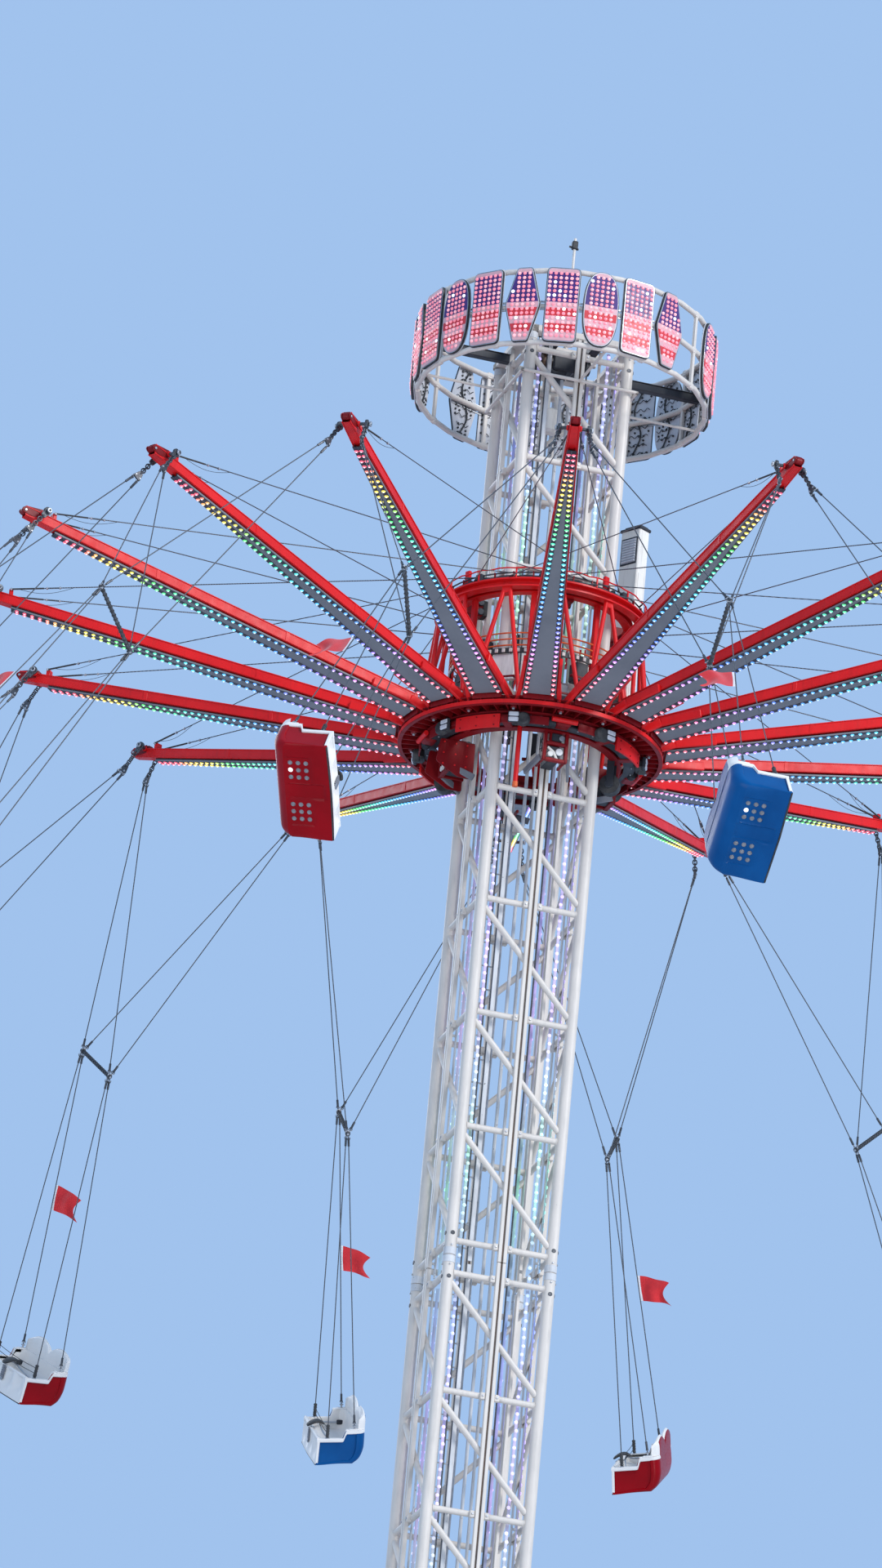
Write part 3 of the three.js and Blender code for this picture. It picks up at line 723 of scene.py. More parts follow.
def mast_face(shape):
    """Rungs and braces of one face, with their weld collars and rail clamps."""
    rung_end = LEG_AT - LEG_RADIUS * 0.5
    for bay, z in enumerate(rung_levels()):
        shape.tube([(-rung_end, -LEG_AT, z), (rung_end, -LEG_AT, z)], RUNG_RADIUS, "white", 16)
        for side in (-1, 1):
            weld = [side * (LEG_AT - LEG_RADIUS + x) for x in (0.006, -0.012)]
            path = [(x, -LEG_AT, z) for x in (weld if side > 0 else weld[::-1])]
            shape.tube(path, [RUNG_RADIUS + 0.009, RUNG_RADIUS + 0.001][::side], "white", 16)
            rail_clamp(shape, side, z)
        if bay:
            upper = Vector((-LEG_AT + 0.05, -LEG_AT, z - 0.12))
            lower = Vector((LEG_AT - 0.05, -LEG_AT, z - BAY + 0.12))
            shape.tube([upper, lower], RUNG_RADIUS, "white", 16)


def rail_clamp(shape, side, z):
    """The lug and bolt that hold one bar of the rail to a rung."""
    x = side * 0.088
    shape.box((x - 0.03, -RAIL_FACE + 0.012, z - 0.055), (x + 0.03, -LEG_AT - 0.02, z + 0.03), "white",
              0.008)
    shape.disc((x, -RAIL_FACE + 0.008, z - 0.012), (0, -1, 0), 0.014, 0.008, "galvanised", 6, 0.002)


def inner_bars(shape):
    """Slim bars up the inside of one face, on brackets at every second rung."""
    for x, width, finish in ((-0.34, 0.05, "white_grubby"), (0.3, 0.035, "white")):
        y = -LEG_AT + 0.12
        shape.box((x - width / 2, y - 0.008, 0.02), (x + width / 2, y + 0.008, SECTION - 0.02), finish,
                  0.003)
        for z in rung_levels()[::2]:
            shape.box((x - 0.012, -LEG_AT + 0.02, z - 0.014), (x + 0.012, y, z + 0.014), finish, 0.003)


def mast_section():
    shape = Shape()
    for face in range(4):
        shape.place = turn(90 * face)
        mast_leg(shape)
        mast_face(shape)
        inner_bars(shape)
    return shape.mesh("mast_section_mesh")


def mast_lamps():
    """Rows of small lamps up the whole mast, on flat strips coloured and faintly lit as painted glow from
    the lamps, in stretches with gaps at the rungs.
    """
    shape = Shape()
    pitch = 0.105
    for face in range(4):
        shape.place = turn(90 * face)
        for x in LAMP_STRIPS:
            for section in range(SECTIONS):
                base = BASE_TOP + section * SECTION
                y = -LEG_AT + 0.1
                shape.box((x - 0.018, y - 0.006, base + 0.03),
                          (x + 0.018, y + 0.006, base + SECTION - 0.03), "lamp_back", 0.002)
                for step in range(int(SECTION / pitch)):
                    z = 0.06 + step * pitch
                    if min(abs(z - rung) for rung in rung_levels()) > 0.08:
                        at = (x + 0.006 * math.sin(step * 2.4), -LEG_AT + 0.094, base + z)
                        shape.dome(at, (0, -1, 0), 0.026, 0.016, "mast_light", 6)
    return shape.mesh("mast_lamps_mesh")


def guide_rails():
    """A slotted rail up the middle of each face, jointed where the sections meet, and the foot frame."""
    shape = Shape()
    for face in range(4):
        shape.place = turn(90 * face)
        for section in range(SECTIONS):
            low = BASE_TOP + section * SECTION + 0.004
            high = low + SECTION - 0.008
            for side in (-1, 1):
                inner, outer = sorted((side * 0.012, side * 0.055))
                shape.box((inner, -RAIL_FACE, low), (outer, -RAIL_BACK + 0.004, high), "white", 0.005)
            shape.box((-0.02, -RAIL_FACE + 0.014, low), (0.02, -RAIL_BACK, high), "slot", 0.002)
        foot = LEG_AT + 0.13
        low_side = LEG_AT + LEG_RADIUS + 0.002
        shape.box((-foot, -foot, BASE_TOP), (foot, -low_side, BASE_TOP + 0.09), "white", 0.01)
        for x in (-0.5, -0.25, 0.25, 0.5):
            shape.disc((x, -foot - 0.006, BASE_TOP + 0.045), (0, -1, 0), 0.02, 0.01, "galvanised", 6, 0.003)
    return shape.mesh("guide_rails_mesh")


def lift_gear():
    """Wire ropes, slim conduits and a ladder up the inside of the mast."""
    shape = Shape()
    for x, y in ((-0.26, -0.12), (-0.26, 0.12), (0.26, -0.12), (0.26, 0.12)):
        shape.tube([(x, y, 0.4), (x, y, MAST_TOP + 0.28)], 0.01, "rope", 6)
    for x, y, radius in ((-0.1, -0.3, 0.022), (0.12, -0.28, 0.016), (0.18, 0.3, 0.02), (-0.3, 0.28, 0.016)):
        shape.tube([(x, y, BASE_TOP), (x, y, MAST_TOP - 0.4)], radius, "white_grubby", 8)
    shape.box((-0.24, -0.09, MAST_TOP - 1.0), (0.0, 0.09, MAST_TOP - 0.68), "cabinet", 0.03)
    for x in (-0.17, -0.05):
        shape.tube([(x, 0, MAST_TOP - 0.7), (x, 0, MAST_TOP - 0.5)], 0.035, "cabinet", 14)
    for x in (-0.3, -0.02):
        shape.tube([(x, 0.44, BASE_TOP), (x, 0.44, MAST_TOP - 0.3)], 0.013, "galvanised", 8)
    for step in range(int((MAST_TOP - BASE_TOP - 0.5) / 0.3)):
        z = BASE_TOP + 0.2 + step * 0.3
        shape.tube([(-0.3, 0.44, z), (-0.02, 0.44, z)], 0.009, "galvanised", 6)
    return shape.mesh("lift_gear_mesh")


def sheave(shape, x, z, radius):
    """A grooved rope wheel with its hub, standing across the X axis."""
    rim = [(-0.04, radius), (-0.03, radius), (-0.01, radius - 0.03), (0.01, radius - 0.03),
           (0.03, radius), (0.04, radius)]
    path = [(x + dx, 0, z) for dx, _ in rim]
    shape.tube(path, [r for _, r in rim], "steel", 28)
    shape.disc((x, 0, z), (1, 0, 0), 0.07, 0.065, "galvanised", 16)


def mast_head():
    """Closing frame, cross beams, rope sheaves with their shaft, the aerial, and the drive below."""
    shape = Shape()
    low = MAST_TOP + 0.001
    high = low + 0.09
    half = LEG_AT + 0.08
    for face in range(4):
        shape.place = turn(90 * face)
        shape.box((-half, -half, low), (half, -half + 0.15, high), "white", 0.012)
        shape.disc((-LEG_AT, -LEG_AT, high + 0.008), (0, 0, 1), 0.05, 0.012, "galvanised", 12, 0.004)
    shape.place = Matrix.Identity(4)
    for x in (-0.26, 0.26):
        shape.box((x - 0.06, -half + 0.02, low + 0.01), (x + 0.06, half - 0.02, high + 0.04),
                  "dark_paint", 0.01)
        sheave(shape, x, high + 0.2, 0.21)
        for side in (-1, 1):
            cheek = [(-0.16, high + 0.02), (0.16, high + 0.02), (0.06, high + 0.27), (-0.06, high + 0.27)]
            shape.place = shift(x + side * 0.055, 0, 0) @ SIDE_ON
            shape.prism(cheek, -0.006, 0.006, "dark_paint", 0.002)
            shape.place = Matrix.Identity(4)
    shape.tube([(-0.36, 0, high + 0.2), (0.36, 0, high + 0.2)], 0.035, "steel", 14)
    shape.box((-0.26, -0.13, high - 0.04), (0.26, 0.13, high + 0.03), "dark_paint", 0.01)
    aerial = [(0, 0, high), (0, 0, AERIAL_STEP), (0, 0, 50.61), (0, 0, AERIAL_TOP)]
    shape.tube(aerial, [0.03, 0.03, 0.018, 0.018], "white", 10)
    shape.disc((0, 0, AERIAL_STEP), (0, 0, 1), 0.04, 0.03, "galvanised", 12)
    shape.box((-0.035, -0.035, 51.19), (0.035, 0.035, 51.3), "cable", 0.01)
    shape.tube([(-0.07, 0, 51.22), (0.05, 0, 51.2)], 0.014, "cable", 8)
    shape.place = shift(-0.08, 0, MAST_TOP - 0.25)
    winch(shape)
    return shape.mesh("mast_head_mesh")


def winch(shape):
    """The dark drive under the head: a drum box that tapers down, a motor, and a brown clutch housing."""
    shape.box((-0.1, -0.14, 0.06), (0.18, 0.12, 0.3), "dark_paint", 0.02)
    funnel = [(-0.08, 0.07), (0.12, 0.07), (0.0, -0.06), (-0.06, -0.06)]
    before = shape.place
    shape.place = before @ shift(0, -0.02, 0) @ SIDE_ON @ tip(90, "Y")
    shape.prism(funnel, -0.09, 0.09, "dark_paint", 0.01)
    shape.place = before
    shape.tube([(0.18, -0.01, 0.2), (0.4, -0.01, 0.2)], 0.085, "dark_paint", 18)
    for step in range(5):
        shape.disc((0.22 + step * 0.035, -0.01, 0.2), (1, 0, 0), 0.095, 0.008, "dark_paint", 18, 0.003)
    shape.disc((-0.16, -0.02, 0.18), (1, 0, 0), 0.1, 0.07, "slot", 20, 0.012)
    shape.disc((-0.22, -0.02, 0.18), (1, 0, 0), 0.05, 0.05, "steel", 16, 0.01)
    for y in (-0.15, 0.09):
        shape.box((-0.52, y, 0.3), (0.52, y + 0.06, 0.36), "white", 0.008)


# Crown
def hoop_path(radius, z, offset):
    """The corners of a hoop made of straight lengths, one for each light panel."""
    count = 360 // PANEL_STEP
    return [polar(radius, offset + PANEL_STEP * i, z) for i in range(count)]


def crown_frame():
    """Three hoops on posts, with slim spokes from a collar round the mast and a dark beam each side."""
    shape = Shape()
    offset = SIGN_TURN - PANEL_STEP / 2
    levels = (CROWN_LOW + CROWN_HOOP, (CROWN_LOW + CROWN_HIGH) / 2, CROWN_HIGH - CROWN_HOOP)
    for z in levels:
        shape.tube(hoop_path(CROWN_RADIUS, z, offset), CROWN_HOOP, "white", 12, closed=True)
    for post in range(12):
        shape.place = turn((post + 0.5) * 30)
        low = CROWN_LOW + 0.03
        shape.box((CROWN_RADIUS - 0.028, -0.025, low), (CROWN_RADIUS + 0.012, 0.025, CROWN_HIGH - 0.03),
                  "white", 0.006)
        for z in levels:
            shape.box((CROWN_RADIUS - 0.04, -0.04, z - 0.042), (CROWN_RADIUS + 0.018, 0.04, z + 0.042),
                      "white", 0.01)
    collar = RAIL_FACE + 0.001
    low = CROWN_LOW + 0.02
    for face in range(4):
        shape.place = turn(90 * face)
        shape.box((-collar - 0.04, -collar - 0.04, low), (collar + 0.04, -collar, low + 0.035), "white",
                  0.008)
        shape.tube([(collar + 0.02, 0, low + 0.02), (CROWN_RADIUS - 0.02, 0, low + 0.02)], 0.018, "white",
                   10)
        if face % 2 == 0:
            beam = levels[1] - 0.045
            shape.box((collar - 0.01, -0.05, beam - 0.06), (CROWN_RADIUS - 0.01, 0.05, beam + 0.04),
                      "dark_paint", 0.01)
            shape.box((collar - 0.01, -0.06, beam + 0.04), (CROWN_RADIUS - 0.01, 0.06, beam + 0.048),
                      "steel", 0.003)
    return shape.mesh("crown_frame_mesh")


def panel_outline(kind):
    """Generic light panels: an oval, a bar or a lozenge, as (across, up) pairs."""
    if kind == "oval":
        return [
            (0.226 * math.copysign(abs(math.cos(t)) ** 0.8, math.cos(t)),
             0.5 * math.copysign(abs(math.sin(t)) ** 0.8, math.sin(t)))
            for t in (2 * math.pi * i / 40 for i in range(40))
        ]
    if kind == "bar":
        return rounded([(-0.21, -0.5), (0.21, -0.5), (0.21, 0.5), (-0.21, 0.5)], 0.07)
    return rounded([(-0.1, -0.5), (0.1, -0.5), (0.228, 0), (0.1, 0.5), (-0.1, 0.5), (-0.228, 0)], 0.04)


def rounded(outline, radius, steps=4):
    """An outline with its corners rounded off."""
    made = []
    count = len(outline)
    for i in range(count):
        here = Vector(outline[i])
        back = (Vector(outline[i - 1]) - here).normalized() * radius
        on = (Vector(outline[(i + 1) % count]) - here).normalized() * radius
        for step in range(steps + 1):
            share = step / steps
            made.append(tuple(here + back * (1 - share) ** 2 + on * share ** 2))
    return made


def inside(outline, x, y):
    """Whether a point is inside an outline."""
    found = False
    count = len(outline)
    for i in range(count):
        x0, y0 = outline[i - 1]
        x1, y1 = outline[i]
        if (y0 > y) != (y1 > y) and x < x0 + (x1 - x0) * (y - y0) / (y1 - y0):
            found = not found
    return found


def light_panel(shape, kind, dice):
    """One panel of the sign. Its own Z is outwards, its X is across and its Y is up."""
    outline = panel_outline(kind)
    shape.prism(outline, 0.0, 0.012, "panel_back", 0.003)
    shape.prism(inset(outline, 0.003), 0.012, 0.044, "cable", 0.003)
    shape.prism(inset(outline, 0.01), 0.044, 0.049, "galvanised", 0.002)
    shape.prism(inset(outline, 0.022), 0.049, 0.053, "panel_face", 0.0008)
    field = inset(outline, 0.042)
    pitch = 0.066
    for row in range(-8, 9):
        y = row * pitch * 0.9
        for column in range(-4, 5):
            x = (column + 0.5 * (kind == "bar")) * pitch
            if inside(field, x, y):
                tone = "bulb_pale"
                # A few bulbs are made white and brighter: painted highlights for glints on their caps.
                if dice.random() < 0.04:
                    tone = "bulb_white"
                elif dice.random() < 0.6:
                    tone = "bulb_pink"
                shape.dome((x, y, 0.053), (0, 0, 1), 0.023, 0.018, tone, 8)
                if dice.random() < 0.4:
                    shape.disc((x, y, -0.008), (0, 0, 1), 0.014, 0.008, "cable", 7, 0.002)
        span = [x / 100 for x in range(-20, 21) if inside(field, x / 100, y)]
        if len(span) > 3 and row % 2:
            wire = [(x, y + 0.02 * math.sin(60 * x + row), -0.01 - 0.008 * dice.random()) for x in span[::2]]
            shape.tube(wire, 0.005, "cable", 5)
    loom = [(0.06 * math.sin(9 * y / 100), y / 100, -0.016) for y in range(-42, 43, 6)]
    shape.tube(loom, 0.01, "cable", 6)


def crown_sign(seed):
    shape = Shape()
    dice = random.Random(seed)
    back = (CROWN_RADIUS + CROWN_HOOP) * math.cos(math.radians(PANEL_STEP / 2)) + 0.001
    middle = (CROWN_LOW + CROWN_HIGH) / 2
    kinds = ("oval", "bar", "diamond", "bar")
    for i in range(SIGN_PANELS):
        angle = (i - (SIGN_PANELS - 1) / 2) * PANEL_STEP
        shape.place = turn(angle) @ shift(back, 0, middle) @ SIDE_ON
        light_panel(shape, kinds[i % 4], dice)
    toward = (SIGN_PANELS * PANEL_STEP) / 2 - 1
    for z in (middle - 0.05, middle + 0.05):
        shape.place = shift(0, 0, z)
        strip = [(back + 0.002, -0.01), (back + 0.018, -0.01), (back + 0.018, 0.01), (back + 0.002, 0.01)]
        shape.lathe(strip, "galvanised", SIGN_PANELS, -toward, toward)
    return shape.mesh("crown_sign_mesh_%d" % seed)


# Carriage
def bolt_circle(shape, radius, z, count, size, finish="galvanised", offset=0.0):
    for i in range(count):
        shape.disc(polar(radius, offset + 360 * i / count, z), (0, 0, 1), size, size * 0.7, finish, 6,
                   size * 0.2)


def carriage_frame():
    """Two collars, posts, guide shoes with rollers, catch cages, inner rail, skirt and gear."""
    shape = Shape()
    inner, outer = 1.01, 1.12
    low = STAR_LEVEL - 0.2
    high = STAR_LEVEL + UPPER_RING[2]
    for z in (STAR_LEVEL - 0.1, high):
        flange = [
            (inner, z), (outer, z), (outer, z + 0.015), (inner + 0.03, z + 0.015), (inner + 0.03, z + 0.085),
            (outer, z + 0.085), (outer, z + 0.1), (inner, z + 0.1),
        ]
        # The lower collar is in the darker red as painted shade, the upper one in the plain red.
        shape.lathe(flange, "red" if z == high else "red_dark", 64)
        bolt_circle(shape, outer - 0.025, z + 0.105, 32, 0.014)
    for face in range(4):
        for angle in (-22.5, 22.5):
            shape.place = turn(90 * face + angle)
            shape.box((inner + 0.01, -0.035, low + 0.12), (outer - 0.035, 0.035, high + 0.02), "red", 0.01)
        shape.place = turn(90 * face)
        guide_shoe(shape, low - 0.04, inner + 0.04)
        guide_shoe(shape, high - 0.04, inner + 0.04)
        catch_cage(shape, low, face == 3)
        skirt(shape, low + 0.1, face % 2 == 1)
    shape.place = turn(-114)
    shape.tube([(1.1, 0, STAR_LEVEL - 0.8), (1.1, 0, STAR_LEVEL - 0.05)], 0.03, "red", 12)
    shape.tube([(1.1, 0, STAR_LEVEL - 0.86), (1.1, 0, STAR_LEVEL - 0.8)], 0.034, "orange", 12)
    shape.place = Matrix.Identity(4)
    inner_rail(shape, inner)
    cabin_gear(shape, inner)
    return shape.mesh("carriage_frame_mesh")


def inner_rail(shape, inner):
    """Thin railings and a toothed band round the inside, between the two rings."""
    for z in (1.0, 1.08, 1.16):
        ring_path = [polar(inner + 0.06, 7.5 * i, STAR_LEVEL + z) for i in range(48)]
        shape.tube(ring_path, 0.01, "orange", 8, closed=True)
    rack = [(inner + 0.04, STAR_LEVEL + 0.9), (inner + 0.055, STAR_LEVEL + 0.9),
            (inner + 0.055, STAR_LEVEL + 0.97), (inner + 0.04, STAR_LEVEL + 0.97)]
    shape.lathe(rack, "cable", 48)
    for tooth in range(72):
        shape.place = turn(tooth * 5)
        shape.box((inner + 0.05, -0.02, STAR_LEVEL + 0.91), (inner + 0.068, 0.02, STAR_LEVEL + 0.96),
                  "white", 0.004)
    shape.place = Matrix.Identity(4)


def cabin_gear(shape, inner):
    """Boxes and wheels of gear between the two collars, on brackets from the posts."""
    boxes = (
        (-130, 0.03, 0.3, 0.56, 0.34, "cabinet"), (-75, 0.14, 0.17, 0.66, 0.24, "dark_paint"),
        (-88, 0.14, 0.14, 0.4, 0.16, "panel_grey"), (-150, 0.14, 0.14, 0.95, 0.2, "dark_paint"),
        (-60, 0.14, 0.12, 0.2, 0.3, "dark_paint"), (-102, 0.14, 0.16, 0.5, 0.3, "dark_paint"),
        (20, 0.14, 0.3, 0.5, 0.42, "cabinet"), (70, 0.14, 0.2, 0.3, 0.34, "dark_paint"),
        (120, 0.14, 0.26, 0.6, 0.34, "dark_paint"),
    )
    for angle, deep, width, up, tall, finish in boxes:
        shape.place = turn(angle)
        low = STAR_LEVEL + up
        shape.box((inner - deep, -width / 2, low), (inner + 0.03, width / 2, low + tall), finish, 0.012)
        shape.box((inner - 0.02, -width / 2 - 0.06, low + 0.03),
                  (inner + 0.035, width / 2 + 0.06, low + 0.06), "red_dark", 0.006)
    for angle in (-162, -18, 90):
        shape.place = turn(angle)
        shape.tube([(inner - 0.1, 0, STAR_LEVEL + 0.66), (inner + 0.1, 0, STAR_LEVEL + 0.66)], 0.13,
                   "rubber", 24)
        shape.disc((inner + 0.105, 0, STAR_LEVEL + 0.66), (1, 0, 0), 0.05, 0.02, "steel", 14, 0.006)
    shape.place = Matrix.Identity(4)


def skirt(shape, collar_low, wheel):
    """A quarter of the skirt: a band and two webs in the darker red of painted shade, a bright plate at the
    corner, and a running wheel.
    """
    band = [(1.335, STAR_LEVEL - 0.13), (1.35, STAR_LEVEL - 0.13), (1.35, STAR_LEVEL - 0.03),
            (1.335, STAR_LEVEL - 0.03)]
    shape.lathe(band, "red_dark", 12, 8, 82)
    plate = [(1.36, STAR_LEVEL - 0.2), (1.385, STAR_LEVEL - 0.2), (1.385, STAR_LEVEL - 0.03),
             (1.36, STAR_LEVEL - 0.03)]
    shape.lathe(plate, "red", 8, 32, 57)
    before = shape.place
    for angle in (30, 59):
        shape.place = before @ turn(angle)
        shape.box((1.1, -0.05, collar_low), (1.365, 0.05, collar_low + 0.05), "red_dark", 0.008)
    for angle in (35, 44.5, 54):
        shape.place = before @ turn(angle)
        for z in (-0.06, -0.17):
            shape.disc((1.388, 0, STAR_LEVEL + z), (1, 0, 0), 0.01, 0.006, "red_dark", 6, 0.002)
    if wheel:
        shape.place = before @ turn(62)
        at = collar_low - 0.29
        shape.tube([(1.02, -0.06, at), (1.02, 0.06, at)], 0.125, "rubber", 24)
        shape.tube([(1.02, -0.07, at), (1.02, 0.07, at)], 0.055, "steel", 14)
        for side in (-1, 1):
            near, far = sorted((side * 0.07, side * 0.085))
            shape.box((0.98, near, at - 0.03), (1.07, far, collar_low + 0.02), "dark_paint", 0.006)
    shape.place = before


def guide_shoe(shape, low, outer):
    """A sliding shoe that straddles a rail, with two rollers."""
    face = RAIL_FACE + 0.001
    shape.box((-0.08, -outer, low), (0.08, -face - 0.06, low + 0.22), "red_dark", 0.01)
    shape.box((-0.078, -face - 0.06, low + 0.01), (0.078, -face, low + 0.21), "rubber", 0.006)
    for side in (-1, 1):
        for z in (low + 0.05, low + 0.17):
            shape.disc((side * 0.095, -face - 0.09, z), (1, 0, 0), 0.042, 0.014, "steel", 16, 0.005)


def catch_cage(shape, top, plated):
    """A frame of two windows below the collar, with the catch inside and big side plates, in the darker red
    of painted shade.
    """
    front, back = -1.09, -1.03
    low, mid, half = top - 0.27, top - 0.06, 0.135
    for x in (-half, half):
        shape.box((x - 0.02, front, low), (x + 0.02, back, STAR_LEVEL - 0.01), "red_dark", 0.006)
        shape.box((x - 0.015, back - 0.01, low + 0.01), (x + 0.015, back + 0.26, low + 0.05), "red_dark",
                  0.006)
    for z in (low, mid, STAR_LEVEL - 0.05):
        shape.box((-half, front, z), (half, back, z + 0.04), "red_dark", 0.006)
    for side in (-1, 1):
        strut = side * (half + 0.04)
        shape.beam((strut, back, low + 0.05), (strut + side * 0.1, -0.76, low - 0.08), 0.035, 0.08,
                   "panel_grey", 0.006)
        if plated:
            plate = [(-1.2, top + 0.1), (-1.24, top - 0.2), (-0.95, top - 0.36), (-0.76, top - 0.36),
                     (-0.76, top + 0.1)]
            before = shape.place
            shape.place = before @ shift(side * (half + 0.09), 0, 0) @ SIDE_ON
            shape.prism(rounded(plate, 0.03), -0.006, 0.006, "red_dark", 0.003)
            for y in (-1.15, -1.0, -0.86):
                for z in (top - 0.22, top - 0.08, top + 0.06):
                    shape.disc((y, z, side * 0.009), (0, 0, 1), 0.012, 0.006, "red", 8, 0.003)
            shape.place = before
    shape.box((-0.07, front + 0.03, low + 0.02), (0.07, -RAIL_FACE - 0.001, low + 0.2), "dark_paint", 0.01)
    shape.disc((0.05, front + 0.03, low + 0.13), (0, 1, 0), 0.05, 0.02, "galvanised", 18)
    shape.disc((-0.06, front + 0.03, low + 0.09), (0, 1, 0), 0.035, 0.03, "cabinet", 18)
    shape.tube([(-0.09, front + 0.04, low + 0.18), (-0.02, front + 0.02, low + 0.12),
                (0.03, front + 0.03, low + 0.03)], 0.018, "cabinet", 8)
    shape.box((-0.05, front + 0.02, mid + 0.06), (0.08, front + 0.12, mid + 0.16), "dark_paint", 0.012)
    shape.disc((0.07, front + 0.02, mid + 0.1), (0, 1, 0), 0.035, 0.02, "galvanised", 14)


def bearing_ring():
    """Fixed ring under the star: dark race with bolts, eight roller units and four drive motors."""
    shape = Shape()
    top = STAR_LEVEL - 0.001
    low = top - 0.085
    web = [
        (1.15, low), (1.28, low), (1.28, low + 0.02), (1.19, low + 0.025),
        (1.19, top - 0.025), (1.28, top - 0.02), (1.28, top), (1.15, top),
    ]
    shape.lathe(web, "dark_paint", 72)
    bolt_circle(shape, 1.245, low - 0.004, 36, 0.012)
    for step in range(8):
        shape.place = turn(22.5 + 45 * step)
        roller_unit(shape, top, 1 if step % 2 == 0 else -1)
    for step in range(4):
        shape.place = turn(90 * step)
        shape.box((1.121, -0.2, low + 0.005), (1.17, 0.2, low + 0.07), "red_dark", 0.01)
        motor(shape, low)
    return shape.mesh("bearing_ring_mesh")


def roller_unit(shape, top, toward):
    """A roller in a rounded black housing, with two pale slats beside it."""
    shape.disc((1.37, -0.03 * toward, top - 0.09), (1, 0, 0), 0.085, 0.05, "rubber", 24, 0.02)
    shape.box((1.28, -0.1, top - 0.15), (1.41, 0.1, top - 0.015), "rubber", 0.035)
    low_side, high_side = sorted((toward * 0.02, toward * 0.14))
    for z in (top - 0.145, top - 0.078):
        shape.box((1.4, low_side, z), (1.445, high_side, z + 0.055), "panel_back", 0.012)
    shape.box((1.385, low_side - 0.01, top - 0.15), (1.43, high_side + 0.01, top - 0.01), "dark_paint", 0.01)


def motor(shape, low):
    """A flat drive motor with cooling fins, tucked under the ring beside its bracket."""
    shape.box((1.2, -0.09, low - 0.02), (1.36, 0.09, low + 0.075), "red_dark", 0.02)
    shape.tube([(1.27, -0.2, low + 0.02), (1.27, -0.09, low + 0.02)], 0.05, "dark_paint", 18)
    for step in range(4):
        shape.disc((1.27, -0.19 + step * 0.028, low + 0.02), (0, 1, 0), 0.056, 0.007, "dark_paint", 18,
                   0.003)
    shape.tube([(1.37, -0.16, low + 0.04), (1.37, 0.16, low + 0.04)], 0.032, "red", 14)


# Star
def arm_section(share):
    """Centre, width and height of an arm at a share of its length."""
    out, level, width, height = (between(a, b, share) for a, b in zip(ARM_ROOT, ARM_TIP))
    return Vector((out, 0, level)), width, height


def under_arm(out, drop):
    """A place below the middle of an arm's underside, and the arm's half width there."""
    middle, width, height = arm_section((out - ARM_ROOT[0]) / (ARM_TIP[0] - ARM_ROOT[0]))
    return middle - Vector((0, 0, height / 2 + drop)), width / 2


def arm(shape):
    """One arm, along X: a red box beam with lipped edges, a lamp panel below, and a head."""
    rows = []
    stations = 12
    for i in range(stations + 1):
        middle, width, height = arm_section(i / stations)
        w, h, e = width / 2, height / 2, 0.012
        ring = [(-w + e, -h), (w - e, -h), (w, -h + e), (w, h - e), (w - e, h), (-w + e, h), (-w, h - e),
                (-w, -h + e)]
        rows.append([middle + Vector((0, y, z)) for y, z in ring])
    shape.grid(rows, "red", flip=True, closed=True)
    for side in (-1, 1):
        for level in (-1, 1):
            ends = []
            for share in (0, 1):
                middle, width, height = arm_section(share)
                ends.append(middle + Vector((0, side * (width / 2 + 0.003), level * (height / 2 - 0.007))))
            shape.beam(ends[0], ends[1], 0.014, 0.013, "red", 0.003)
        for share in (0.004, 0.334, 0.664):
            middle, width, height = arm_section(share)
            edge_at = middle + Vector((0, side * width / 2, 0))
            upright = Vector((0, 0, height / 2))
            shape.beam(edge_at - upright, edge_at + upright, 0.05, 0.01, "red", 0.002, up=(0, 1, 0))
    lamp_panel(shape)
    arm_lamps(shape)
    arm_head(shape)


def lamp_panel(shape):
    """The grey sheet below an arm, with the dark strips that carry its lamps and the spine it hangs by."""
    sheet, spine, strips = [], [], ([], [])
    stations = 12
    for i in range(stations + 1):
        out = between(ARM_ROOT[0] + 0.01, PANEL_END, i / stations)
        low, w = under_arm(out, PANEL_DROP)
        up = Vector((0, 0, 1))
        wide = Vector((0, w - 0.008, 0))
        sheet.append([low - wide + up * 0.02, low - wide, low + wide, low + wide + up * 0.02])
        half = Vector((0, w * 0.55, 0))
        top = up * (PANEL_DROP + 0.004)
        spine.append([low - half + top, low - half + up * 0.004, low + half + up * 0.004, low + half + top])
        for k, side in enumerate((-1, 1)):
            at = low + Vector((0, side * max(w - LAMP_INSET, 0.03), 0))
            strip = Vector((0, min(0.026, w * 0.42), 0))
            strips[k].append([at - strip + up * 0.004, at - strip - up * 0.005, at + strip - up * 0.005,
                              at + strip + up * 0.004])
    shape.grid(sheet, "panel_grey")
    shape.grid(spine, "dark_paint")
    for strip in strips:
        shape.grid(strip, "lamp_strip", closed=True)


def arm_lamps(shape):
    """Two rows of lamps below an arm: coloured caps with a pale middle."""
    down = Vector((0, 0, -1))
    for i in range(int((PANEL_END - ARM_ROOT[0] - 0.02) / LAMP_STEP)):
        low, w = under_arm(ARM_ROOT[0] + 0.04 + i * LAMP_STEP, PANEL_DROP + 0.005)
        for side in (-1, 1):
            at = low + Vector((0, side * max(w - LAMP_INSET, 0.03), 0))
            shape.dome(at, down, 0.027, 0.016, "arm_light", 8)
            shape.dome(at + down * 0.012, down, 0.013, 0.01, "arm_glow", 6)


